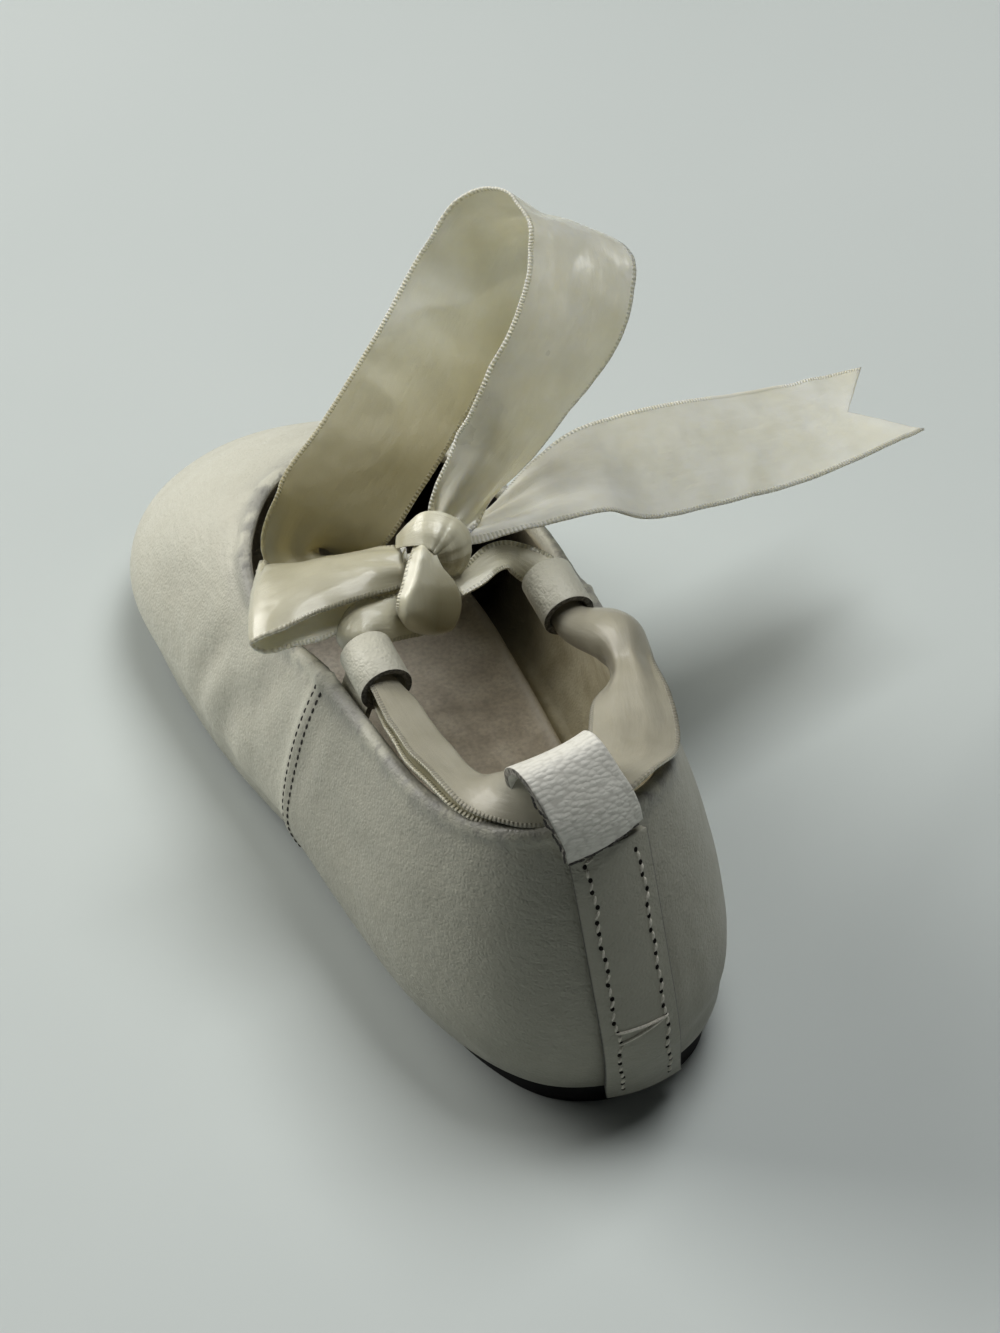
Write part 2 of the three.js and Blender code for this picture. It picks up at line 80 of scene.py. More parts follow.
def new_finish(name, **sockets):
    """A material, its shader and its object coordinates; the sockets are constants of the shader."""
    material = bpy.data.materials.new(name)
    material.use_nodes = True
    shader = material.node_tree.nodes["Principled BSDF"]
    for socket, value in sockets.items():
        shader.inputs[socket.replace("_", " ")].default_value = value
    coordinates = material.node_tree.nodes.new("ShaderNodeTexCoord")
    return material, shader, coordinates


def add_node(material, kind, inputs, **settings):
    """A node whose inputs, named or numbered, get a value or a link from another node's output."""
    node = material.node_tree.nodes.new("ShaderNode" + kind)
    for name, value in settings.items():
        setattr(node, name, value)
    for name, value in inputs.items():
        if isinstance(value, bpy.types.NodeSocket):
            material.node_tree.links.new(value, node.inputs[name])
        else:
            node.inputs[name].default_value = value
    return node.outputs[0]


def speckle(material, coordinates, size, detail=3.0, stretch=(1, 1, 1)):
    """Noise whose blotches are about that many metres across, stretched along the axes of the shoe."""
    turned = add_node(material, "Mapping", {"Vector": coordinates, "Scale": stretch})
    return add_node(material, "TexNoise", {"Vector": turned, "Scale": 1 / size, "Detail": detail})


def ramp(material, factor, *stops):
    """A colour or grey for each place on a scale from 0 to 1."""
    node = material.node_tree.nodes.new("ShaderNodeValToRGB")
    material.node_tree.links.new(factor, node.inputs["Fac"])
    while len(node.color_ramp.elements) < len(stops):
        node.color_ramp.elements.new(0.5)
    for element, (place, colour) in zip(node.color_ramp.elements, stops):
        element.position = place
        level = colour if isinstance(colour, tuple) else (colour, colour, colour)
        element.color = (*level, 1)
    return node.outputs["Color"]


def mixed(material, factor, first, second, blend="MIX"):
    """Two colours mixed by a factor; each is a colour or another node's output."""
    node = material.node_tree.nodes.new("ShaderNodeMix")
    node.data_type = "RGBA"
    node.blend_type = blend
    for name, value in (("Factor_Float", factor), ("A_Color", first), ("B_Color", second)):
        socket = next(item for item in node.inputs if item.identifier == name)
        if isinstance(value, bpy.types.NodeSocket):
            material.node_tree.links.new(value, socket)
        else:
            socket.default_value = (*value, 1) if isinstance(value, tuple) else value
    return next(item for item in node.outputs if item.identifier == "Result_Color")


def raised(material, shader, *reliefs):
    """Bumps one on another: each relief is a height, how deep it is in metres, and how strong it shows."""
    below = None
    for height, depth, strength in reliefs:
        inputs = {"Height": height, "Distance": depth, "Strength": strength}
        if below is not None:
            inputs["Normal"] = below
        below = add_node(material, "Bump", inputs)
    material.node_tree.links.new(below, shader.inputs["Normal"])


def paint(material, shader, **outputs):
    """Links colours and levels to the shader's sockets."""
    for socket, output in outputs.items():
        material.node_tree.links.new(output, shader.inputs[socket.replace("_", " ")])


outsole = piece_like("outsole", "outsole_rubber")
keep_edges(50, 0.75)
round_off(outsole, 2)

sole_black, shader, place = new_finish("sole_black", Specular_IOR_Level=0.35)
grit = speckle(sole_black, place.outputs["Object"], 0.0004)
scuffs = speckle(sole_black, place.outputs["Object"], 0.012, 6.0, (2.0, 0.6, 1.0))
paint(sole_black, shader,
      Base_Color=ramp(sole_black, scuffs, (0.35, (0.008, 0.008, 0.009)), (0.75, (0.035, 0.034, 0.033))),
      Roughness=ramp(sole_black, scuffs, (0.3, 0.62), (0.8, 0.85)))
raised(sole_black, shader, (grit, 0.00006, 0.6), (scuffs, 0.0002, 0.4))
outsole.data.materials.append(sole_black)
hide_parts("outsole")
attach(outsole, "root")


# Upper: a vamp and two quarters of soft ivory leather, seamed at the sides and turned in under the foot.
# The collar and throat are folded over to a yellowed cream lining. The slack leather is creased above the
# sole, at the vamp's flex and beside the heel, and scuffed at the collar. Painted shade greys the quarters,
# the creases and the leather low down, and darkens the lining deep in the toe.
heel_back = Vector((0.000196, -0.060942, 0))
millimetre = 0.001


def at(x, y, z):
    """A place on the shoe, in millimetres from the back of the heel, in the frame."""
    return heel_back + Vector((x, y, z)) * millimetre


def distances(spots, line):
    """How far each spot is from the nearest of the places on a line."""
    tree = KDTree(len(line))
    for k, stop in enumerate(line):
        tree.insert(stop, k)
    tree.balance()
    return np.array([tree.find(spot)[2] for spot in spots])


upper = piece_like("upper", "upper_leather")
lowest_collar = 0.030
bpy.ops.mesh.select_mode(type="EDGE")
bpy.ops.mesh.edges_select_sharp(sharpness=math.radians(50))
bpy.ops.object.mode_set(mode="OBJECT")
rim_line = []
for edge in upper.data.edges:
    ends = [upper.data.vertices[k].co.copy() for k in edge.vertices]
    if edge.select and min(end.z for end in ends) > lowest_collar:
        rim_line += [ends[0].lerp(ends[1], part / 12) for part in range(12)]
round_off(upper, 2)
corners = upper.data.vertices
from_rim = distances([corner.co for corner in corners], rim_line)

# The line along the middle of the shoe tells the lining, which faces it, from the outside
spine = (at(-4, 24, 22), at(0, 92, 17))
points = np.array([corner.co for corner in corners])
normals = np.array([corner.normal for corner in corners])
run = np.array(spine[1] - spine[0])
share = np.clip(((points - np.array(spine[0])) @ run) / (run @ run), 0, 1)
outward = points - (np.array(spine[0]) + share[:, None] * run)
outward /= np.linalg.norm(outward, axis=1)[:, None]
facing = np.einsum("ij,ij->i", normals, outward)
is_lining = (facing < 0).astype(float)

# Creases: the start, middle and end of each, then how deep and how wide it is, all in millimetres
creases = [
    ("above the sole, heel", (-21.5, 12, 9.5), (-26.5, 26, 8.5), (-25.5, 42, 8.0), 0.55, 1.9),
    ("above the sole, waist", (-25, 33, 12.5), (-25.5, 42, 11), (-24.5, 51, 11), 0.30, 1.8),
    ("heel corner, low", (-14, 3, 10), (-20, 8.5, 8.5), (-25, 19, 12), 0.45, 1.7),
    ("quarter, slack", (-26, 27, 30), (-26.5, 36, 26), (-25, 45, 27), 0.35, 3.0),
    ("quarter, upper", (-22, 17, 38), (-25, 27, 36), (-23.5, 38, 34.5), 0.25, 2.4),
    ("behind the seam", (-21.5, 47, 36), (-23.8, 49, 28), (-24.5, 50.5, 20), 0.25, 1.6),
    ("vamp flex, left", (-23, 66, 24), (-24.5, 70, 17), (-24, 73, 10), 0.5, 2.2),
    ("vamp flex, left two", (-21.5, 73, 28), (-23.5, 77, 20), (-23.5, 80, 12), 0.4, 1.8),
    ("vamp dent, left", (-22.5, 60, 33), (-23.5, 62, 28), (-24, 64, 22), 0.45, 2.2),
    ("toe, left", (-19, 84, 26), (-20.5, 92, 20), (-18, 101, 16), 0.3, 2.6),
    ("throat, left", (-17, 82, 33), (-10, 92, 32), (-2, 96, 31), 0.35, 1.8),
    ("throat, right", (4, 96, 31), (11, 92, 32), (17, 83, 33), 0.3, 1.8),
    ("vamp flex, right", (23, 67, 24), (24.3, 71, 17), (24, 74, 10), 0.45, 2.2),
    ("quarter, right", (17, 26, 32), (20, 36, 28), (21, 46, 28), 0.4, 2.6),
    ("above the sole, right", (15, 10, 9), (21.5, 24, 8.5), (23, 44, 8.5), 0.5, 1.9),
    ("heel right", (2, 2, 12), (8, 6, 10), (14, 12, 13), 0.4, 1.8),
    ("beside the strip, left", (-7.5, 2, 40), (-7.0, 1.5, 28), (-5.5, 1, 14), 0.35, 1.3),
    ("beside the strip, right", (3.6, 2, 40), (4.8, 1.5, 28), (5.8, 1, 14), 0.35, 1.3),
]
pressed = np.zeros(len(points))
for _, start, middle, end, depth, width in creases:
    bend = [np.array(at(*start)), np.array(at(*middle)), np.array(at(*end))]
    steps = np.linspace(0, 1, 25)[:, None]
    pull = 2 * bend[1] - (bend[0] + bend[2]) / 2
    line = (1 - steps) ** 2 * bend[0] + 2 * steps * (1 - steps) * pull + steps ** 2 * bend[2]
    gaps = np.linalg.norm(points[:, None, :] - line[None], axis=2)
    nearest = gaps.argmin(axis=1)
    gap = gaps.min(axis=1) / (width * millimetre)
    fade = np.sin(np.pi * np.clip(0.08 + 0.84 * nearest / 24, 0, 1)) ** 0.7
    trough = np.exp(-gap ** 2) - 0.45 * np.exp(-(gap - 2.0) ** 2)
    pressed += depth * millimetre * fade * trough * (gap < 5)

# The side seams: the quarter laps the vamp, and two rows of stitches press grooves into the lap
seam_path = [(3.5, 55.6), (12.9, 55.0), (27.9, 53.0), (39.3, 51.5)]
seam_rows = (0.7, 2.3)


def seam_line(height):
    """How far along the shoe the front edge of the lap is, at a height, both in millimetres."""
    return np.interp(height, [stop[0] for stop in seam_path], [stop[1] for stop in seam_path])


behind_edge = seam_line(points[:, 2] / millimetre) - (points[:, 1] - heel_back.y) / millimetre
lap = np.exp(-((behind_edge - 1.5) / 1.5) ** 2)
for row in seam_rows:
    lap -= 0.8 * np.exp(-((behind_edge - row) / 0.45) ** 2)
lap *= np.abs(points[:, 0]) > 12 * millimetre

# The folded edge stands a little proud outside and, with its seam allowance, inside
fold_width = 2.6 * millimetre
edge_roll = 0.22 * millimetre * np.exp(-((from_rim - 0.9 * millimetre) / (0.9 * millimetre)) ** 2)
groove = 0.16 * millimetre * np.exp(-((from_rim - fold_width) / (0.7 * millimetre)) ** 2)
allowance = 0.3 * millimetre * np.clip(from_rim / millimetre - 0.6, 0, 1) * (from_rim < 1.35 * fold_width)
slack = np.array([noise.noise(Vector(p) * 38) + 0.5 * noise.noise(Vector(p) * 95) for p in points])
fades_at_rim = np.clip(from_rim / (6 * millimetre), 0, 1)
lift = -pressed * fades_at_rim + 0.16 * millimetre * slack
outside = 1 - is_lining
points += outward * lift[:, None]
swell = outside * (edge_roll - groove + 0.28 * millimetre * lap) + is_lining * allowance
points += normals * swell[:, None]

# The soft leather hangs over the sole's edge along the sides, and clears it round the heel
hangs = np.clip((points[:, 1] - at(0, 26, 0).y) / (14 * millimetre), 0, 1) * outside
hangs *= np.clip(1 - (points[:, 2] - 3 * millimetre) / (5 * millimetre), 0, 1) * (facing > 0.2)
points[:, 2] -= 1.5 * millimetre * hangs
points[:, :2] += outward[:, :2] * (0.9 * millimetre * hangs)[:, None]
upper.data.vertices.foreach_set("co", points.ravel())
upper.data.update()


def tell(piece, name, values):
    """Writes a value for each corner of the piece, for its finish to read."""
    attribute = piece.data.attributes.new(name, "FLOAT", "POINT")
    attribute.data.foreach_set("value", np.asarray(values, np.float32))


# Where the colour changes: painted shade deep in the toe, the rubbed rim, and painted shade low down, higher
# on the quarters
toe_dark = np.clip((points[:, 1] - at(0, 70, 0).y) / (16 * millimetre), 0, 1)
wear = np.exp(-from_rim / (1.8 * millimetre)) * outside
shade_height = 11 + 9 * np.clip(behind_edge / 10 + 0.5, 0, 1)
# Painted shade near the floor, up to a height that is greater on the quarters
low = np.clip(1 - points[:, 2] / millimetre / shade_height, 0, 1)
tell(upper, "lining", is_lining * np.clip((from_rim - 0.8 * millimetre) / (0.6 * millimetre), 0, 1))
tell(upper, "toe_dark", toe_dark * is_lining * np.clip(from_rim / (2 * millimetre) - 1.2, 0, 1))
tell(upper, "rim_wear", wear)
tell(upper, "low_shade", low * outside)
# Painted shade: the quarters behind the side seams are greyed
tell(upper, "quarter", np.clip(behind_edge / 0.6, 0, 1) * outside)
tell(upper, "crease", np.clip(pressed / (0.5 * millimetre), 0, 1))


def attribute(material, name):
    """A value that was told to the piece's corners."""
    node = material.node_tree.nodes.new("ShaderNodeAttribute")
    node.attribute_name = name
    return node.outputs["Fac"]


def times(material, first, second):
    """The product of two levels."""
    return add_node(material, "Math", {0: first, 1: second}, operation="MULTIPLY")


ivory_leather, shader, place = new_finish("ivory_leather", Specular_IOR_Level=0.42, Sheen_Weight=0.06)
where = place.outputs["Object"]
tone = speckle(ivory_leather, where, 0.030, 4.0)
fine_tone = speckle(ivory_leather, where, 0.0035, 4.0)
smudge = speckle(ivory_leather, where, 0.0045, 7.0)
colour = ramp(ivory_leather, tone, (0.3, (0.550, 0.535, 0.448)), (0.7, (0.630, 0.617, 0.526)))
colour = mixed(ivory_leather, ramp(ivory_leather, fine_tone, (0.45, 0.0), (0.75, 0.22)), colour,
               (0.490, 0.472, 0.388))
# Painted shade greys the quarters, and the heel strip with them
colour = mixed(ivory_leather, times(ivory_leather, attribute(ivory_leather, "quarter"), 0.75), colour,
               (0.380, 0.371, 0.308))
rubbed = times(ivory_leather, attribute(ivory_leather, "rim_wear"),
               ramp(ivory_leather, smudge, (0.44, 0.0), (0.57, 0.9)))
colour = mixed(ivory_leather, rubbed, colour, (0.25, 0.245, 0.23))
scuffs = times(ivory_leather, attribute(ivory_leather, "rim_wear"),
               ramp(ivory_leather, speckle(ivory_leather, where, 0.0016, 6.0), (0.57, 0.0), (0.66, 0.6)))
colour = mixed(ivory_leather, scuffs, colour, (0.16, 0.157, 0.145))
# Painted shade, darker towards the floor
darkened = times(ivory_leather, attribute(ivory_leather, "low_shade"),
               ramp(ivory_leather, smudge, (0.35, 0.45), (0.70, 0.80)))
colour = mixed(ivory_leather, darkened, colour, (0.26, 0.26, 0.22))
# Painted shade in the creases
crease_shade = times(ivory_leather, attribute(ivory_leather, "crease"),
                ramp(ivory_leather, tone, (0.2, 0.35), (0.8, 0.12)))
colour = mixed(ivory_leather, crease_shade, colour, (0.56, 0.53, 0.45))
lining_colour = ramp(ivory_leather, smudge, (0.3, (0.53, 0.48, 0.335)), (0.7, (0.70, 0.66, 0.51)))
# Painted shade: the lining goes nearly black deep in the toe
lining_colour = mixed(ivory_leather, attribute(ivory_leather, "toe_dark"), lining_colour,
                      (0.018, 0.016, 0.014))
colour = mixed(ivory_leather, attribute(ivory_leather, "lining"), colour, lining_colour)
# Painted shade and dirt darken the heel strip's side walls
colour = mixed(ivory_leather, attribute(ivory_leather, "strip_edge_shade_and_dirt"), colour, (0.10, 0.095, 0.085))
paint(ivory_leather, shader, Base_Color=colour,
      Roughness=ramp(ivory_leather, fine_tone, (0.3, 0.40), (0.7, 0.56)))
pores = add_node(ivory_leather, "TexVoronoi", {"Vector": where, "Scale": 1 / 0.0006},
                 feature="DISTANCE_TO_EDGE")
wrinkles = speckle(ivory_leather, where, 0.0016, 5.0, (1.0, 1.0, 1.6))
raised(ivory_leather, shader, (wrinkles, 0.0005, 0.40), (pores, 0.0003, 0.35))
upper.data.materials.append(ivory_leather)
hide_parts("upper")
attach(upper, "root")
bpy.context.view_layer.update()
leather_skin = BVHTree.FromObject(upper, bpy.context.evaluated_depsgraph_get())


# Side seams: two rows of dark grey thread, sewn through the quarter's edge where it laps the vamp.
# Each stitch is a short length of twisted thread that dips into the leather at its ends.
def sew(name, seats, length, width, height, sunk=0.00002):
    """One mesh of stitches: each seat is a place, the way the thread runs and the way the leather faces."""
    mesh = bmesh.new()
    for seat, ahead, up in seats:
        ahead = (ahead - up * ahead.dot(up)).normalized()
        turned = Matrix((ahead, up.cross(ahead), up)).transposed().to_4x4()
        turned.translation = seat - up * sunk
        sized = Matrix.Diagonal((length, width, height, 1))
        bmesh.ops.create_uvsphere(mesh, u_segments=8, v_segments=6, radius=0.5, matrix=turned @ sized)
    data = bpy.data.meshes.new(name)
    mesh.to_mesh(data)
    mesh.free()
    stitches = bpy.data.objects.new(name, data)
    bpy.context.collection.objects.link(stitches)
    data.polygons.foreach_set("use_smooth", [True] * len(data.polygons))
    return stitches


def seated(origin, direction):
    """Where a needle that comes from outside meets the leather, and the way the leather faces there."""
    place, facing, _, _ = leather_skin.ray_cast(origin, direction)
    return place, facing


def along_row(places, pitch, waver=0.0):
    """Seats on a row of (place, facing) pairs, evenly spaced but for how far the needle wavers."""
    spots = np.array([spot for spot, _ in places])
    travelled = np.concatenate([[0], np.cumsum(np.linalg.norm(np.diff(spots, axis=0), axis=1))])
    seats = []
    for distance in np.arange(pitch / 2, travelled[-1], pitch):
        distance += waver * noise.noise(Vector((distance / millimetre, 0.3, 0.7)))
        k = min(np.searchsorted(travelled, distance) - 1, len(places) - 2)
        part = (distance - travelled[k]) / max(travelled[k + 1] - travelled[k], 1e-9)
        seat = places[k][0].lerp(places[k + 1][0], part)
        ahead = (places[k + 1][0] - places[k][0]).normalized()
        sideways = ahead.cross(places[k][1]) * waver * noise.noise(Vector((0.4, distance / millimetre, 0.2)))
        seats.append((seat + sideways, ahead, places[k][1]))
    return seats


seam_seats = []
for side in (-1, 1):
    for row in seam_rows:
        found = []
        for height in np.linspace(5.0, 38.6, 44):
            found.append(seated(at(side * 60, seam_line(height) - row, height), Vector((-side, 0, 0))))
        seam_seats += along_row([pair for pair in found if pair[0] is not None], pitch=0.00138)
seam_thread = sew("side_seam_thread", seam_seats, length=0.00098, width=0.00036, height=0.00034)
grey_thread, shader, place = new_finish("grey_thread", Roughness=0.8)
twist = speckle(grey_thread, place.outputs["Object"], 0.00025)
paint(grey_thread, shader, Base_Color=ramp(grey_thread, twist, (0.3, (0.035, 0.033, 0.030)),
                                           (0.7, (0.14, 0.135, 0.12))))
raised(grey_thread, shader, (twist, 0.0001, 0.6))
seam_thread.data.materials.append(grey_thread)
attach(seam_thread, "root")


# Insole: a sock of grey mauve suede, glued over the turned-in edge of the upper.
# Its border stands up as a narrow, paler cord along the wall, and its nap is mottled by wear.
insole = piece_like("insole", "insole_suede")
keep_edges(50, 0.5)
round_off(insole, 3)
bed = np.array([corner.co for corner in insole.data.vertices])
bed_up = np.array([corner.normal.z for corner in insole.data.vertices])
brink = bed[(bed_up > 0.2) & (bed_up < 0.8)]
from_brink = distances(bed, brink)
piping = np.exp(-((from_brink - 0.9 * millimetre) / (0.55 * millimetre)) ** 2) * (bed_up > 0)
bed[:, 2] += 0.45 * millimetre * piping
insole.data.vertices.foreach_set("co", bed.ravel())
insole.data.update()
tell(insole, "piping", piping)
suede, shader, place = new_finish("suede", Specular_IOR_Level=0.12, Sheen_Weight=0.25, Sheen_Roughness=0.6)
where = place.outputs["Object"]
mottle = speckle(suede, where, 0.0045, 8.0)
nap = speckle(suede, where, 0.0006, 4.0)
rub = speckle(suede, where, 0.020, 3.0)
colour = ramp(suede, mottle, (0.30, (0.58, 0.520, 0.435)), (0.52, (0.78, 0.715, 0.615)),
              (0.72, (0.90, 0.845, 0.745)))
colour = mixed(suede, ramp(suede, rub, (0.4, 0.0), (0.7, 0.35)), colour, (0.70, 0.645, 0.555))
colour = mixed(suede, ramp(suede, nap, (0.4, 0.0), (0.7, 0.35)), colour, (0.36, 0.320, 0.268))
paint(suede, shader, Base_Color=mixed(suede, attribute(suede, "piping"), colour, (0.80, 0.755, 0.68)),
      Roughness=ramp(suede, nap, (0.3, 0.85), (0.7, 1.0)))
raised(suede, shader, (nap, 0.00035, 0.7), (mottle, 0.0006, 0.35))
insole.data.materials.append(suede)
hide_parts("insole")
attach(insole, "root")


# Heel strip: a stay of the same leather, sewn over the back seam from the sole to the collar.
# A row of stitches runs near each edge: the needle holes are dark blobs of painted shade, and the light
# thread between them lies sunk in the leather.
heel_strip = piece_like("heel_strip", "heel_strip_leather")
keep_edges(50, 0.7)
round_off(heel_strip, 3)
stay = np.array([corner.normal for corner in heel_strip.data.vertices])
# The strip's side walls are darkened with painted shade and dirt where it steps down to the quarter
tell(heel_strip, "strip_edge_shade_and_dirt", np.clip((np.abs(stay[:, 0]) - 0.60) / 0.2, 0, 1))
# Painted shade greys the whole strip, as on the quarters
tell(heel_strip, "quarter", np.ones(len(stay)))
# Painted shade low on the strip as well
strip_shade_height = 26 * millimetre
tell(heel_strip, "low_shade", [np.clip(1 - c.co.z / strip_shade_height, 0, 1) for c in heel_strip.data.vertices])
heel_strip.data.materials.append(ivory_leather)
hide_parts("heel_strip")
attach(heel_strip, "root")
bpy.context.view_layer.update()
strip_skin = BVHTree.FromObject(heel_strip, bpy.context.evaluated_depsgraph_get())

# At each height the strip is felt across in quarter millimetres, to find a place seven in from its edge
towards_toe = Vector((0, 1, 0))
from_edge = 7
hole_rows = []
for side in (-1, 1):
    row = []
    for height in np.linspace(5.5, 46.5, 60):
        felt = [strip_skin.ray_cast(at(x, -20, height), towards_toe) for x in np.linspace(-16, 10, 105)]
        met = [hit for hit in felt if hit[0] is not None]
        if len(met) > from_edge + 3:
            inner = met[from_edge] if side < 0 else met[-1 - from_edge]
            row.append((inner[0], inner[1]))
    hole_rows.append(along_row(row, pitch=0.0020, waver=0.0005))
holes = [seat for row in hole_rows for seat in row]
# Painted shade: each needle hole is a dark blob
needle_holes = sew("heel_strip_holes", holes, length=0.00076, width=0.00056, height=0.00026)
hole_shade, shader, place = new_finish("hole_shade", Roughness=0.95, Specular_IOR_Level=0.05)
paint(hole_shade, shader, Base_Color=ramp(hole_shade, speckle(hole_shade, place.outputs["Object"], 0.0003),
                                         (0.3, (0.010, 0.009, 0.008)), (0.7, (0.035, 0.032, 0.028))))
needle_holes.data.materials.append(hole_shade)
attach(needle_holes, "root")

between = []
slant = 0.35
for row in hole_rows:
    for here, there in zip(row, row[1:]):
        ahead = (there[0] - here[0]).normalized()
        between.append(((here[0] + there[0]) / 2, ahead + slant * ahead.cross(here[2]), here[2]))
# Near the sole the thread crosses the strip twice, where the two rows were joined
for left_end, right_end in ((6, 7), (7, 7)):
    start, end = hole_rows[0][left_end], hole_rows[1][right_end]
    for part in np.linspace(0.04, 0.96, 14):
        behind = start[0].lerp(end[0], part) - 0.01 * towards_toe
        seat, facing, _, _ = strip_skin.ray_cast(behind, towards_toe)
        between.append((seat, end[0] - start[0], facing))
light_thread = sew("heel_strip_thread", between, length=0.0013, width=0.00040, height=0.00066)
cream_thread, shader, place = new_finish("cream_thread", Roughness=0.7)
twist = speckle(cream_thread, place.outputs["Object"], 0.00025)
paint(cream_thread, shader, Base_Color=ramp(cream_thread, twist, (0.3, (0.62, 0.59, 0.51)),
                                            (0.7, (0.80, 0.77, 0.69))))
raised(cream_thread, shader, (twist, 0.0001, 0.6))
light_thread.data.materials.append(cream_thread)
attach(light_thread, "root")


# Heel loop: a strap of whiter, pebble-grained leather, folded over the collar and sewn down on both sides.
# The ribbon runs through it. Its edges are raw cuts, darkened partly with painted shade, and dark fibres
# stand out of the hem and the left edge, where they also paint a shadow line.
heel_loop = piece_like("heel_loop", "heel_loop_leather")
keep_edges(50, 0.8)
round_off(heel_loop, 3)
strap = heel_loop.data.vertices
cut_corners = np.array([corner.co for corner in strap])
facings = np.array([corner.normal for corner in strap])
loop_line = np.array([at(*stop) for stop in ((-6.9, 2.9, 47.5), (-7.3, 3.4, 50.0))])
flap_down = (loop_line[0] - loop_line[1]) / np.linalg.norm(loop_line[0] - loop_line[1])
side_wall = np.clip((np.abs(facings[:, 0]) - 0.72) / 0.2, 0, 1)
hem_wall = np.clip((facings @ flap_down - 0.55) / 0.3, 0, 1) * (cut_corners[:, 1] < at(0, 6, 0).y)
fray = np.array([noise.noise(Vector(p) * 1400) for p in cut_corners])
cut_corners[:, 0] += 0.05 * millimetre * side_wall * fray
cut_corners[:, 2] += 0.10 * millimetre * hem_wall * fray
strap.foreach_set("co", cut_corners.ravel())
heel_loop.data.update()
tell(heel_loop, "raw_wall_and_shade", np.maximum(side_wall, hem_wall))

grained_leather, shader, place = new_finish("grained_leather", Specular_IOR_Level=0.4)
where = place.outputs["Object"]
tone = speckle(grained_leather, where, 0.009, 5.0)
colour = ramp(grained_leather, tone, (0.3, (0.740, 0.725, 0.650)), (0.7, (0.830, 0.815, 0.745)))
wander = add_node(grained_leather, "TexNoise", {"Vector": where, "Scale": 1 / 0.0012, "Detail": 2.0})
pebble_room = add_node(grained_leather, "Mapping", {"Vector": where, "Scale": (950.0, 1850.0, 1850.0)})
pebble_room = mixed(grained_leather, 0.35, pebble_room, wander, "ADD")
grain = add_node(grained_leather, "TexVoronoi", {"Vector": pebble_room, "Scale": 1.0}, feature="F1")
pebbles = ramp(grained_leather, grain, (0.10, 1.0), (0.75, 0.0))
colour = mixed(grained_leather, ramp(grained_leather, grain, (0.50, 0.0), (0.85, 0.35)), colour,
               (0.46, 0.44, 0.385))
fibre = speckle(grained_leather, where, 0.0007, 5.0)
# The raw walls' dark colour is partly painted shade
raw = ramp(grained_leather, fibre, (0.35, (0.07, 0.065, 0.055)), (0.65, (0.34, 0.32, 0.28)))
colour = mixed(grained_leather, attribute(grained_leather, "raw_wall_and_shade"), colour, raw)
paint(grained_leather, shader, Base_Color=colour,
      Roughness=ramp(grained_leather, tone, (0.3, 0.42), (0.7, 0.58)))
raised(grained_leather, shader, (pebbles, 0.00018, 0.45), (fibre, 0.00012, 0.30))
heel_loop.data.materials.append(grained_leather)
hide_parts("heel_loop")
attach(heel_loop, "root")

# The frayed cuts: which wall, the axis that it runs along, and the way its fibres point
outer_half = cut_corners[:, 1] < at(0, 6.5, 0).y
cuts = [(hem_wall > 0.6, 0, Vector((-0.1, -1.0, -0.1))),
        ((facings[:, 0] < -0.75) & outer_half, 2, Vector((-0.6, -0.8, 0.1)))]
fray_seats = []
for wall, axis, faces_to in cuts:
    edge = cut_corners[wall]
    stops = np.arange(edge[:, axis].min(), edge[:, axis].max(), 0.7 * millimetre)
    near = [edge[np.abs(edge[:, axis] - stop) < 0.7 * millimetre] for stop in stops]
    middles = [Vector(spots.mean(axis=0)) for spots in near if len(spots)]
    places = [(middle + faces_to * 0.5 * millimetre, faces_to) for middle in middles]
    fray_seats += along_row(places, pitch=0.0006, waver=0.0004)
# The dark fibres are partly a painted shadow line along the hem and the left edge
frayed = sew("heel_loop_fray_and_shade", fray_seats, length=0.0009, width=0.00026, height=0.00030)
frayed.data.materials.append(grey_thread)
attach(frayed, "root")


# Side loops: tabs of smooth leather sewn inside the collar, rolled over into small tubes for the ribbon.
# Their ends are raw cuts that show the grey flesh side, and the ribbon has pulled the front ends back.

# The middle of each loop and the way towards the toe, half a loop's length, in millimetres
left_loop = (Vector((-15.58, 46.01, 42.60)), Vector((0.28, 4.13, 0.26)))
right_loop = (Vector((9.76, 47.90, 42.54)), Vector((0.22, 4.12, 0.47)))


def in_loop(loop, share):
    """A place in a side loop, from its back (-1) to its front (1)."""
    return tuple(loop[0] + share * loop[1])


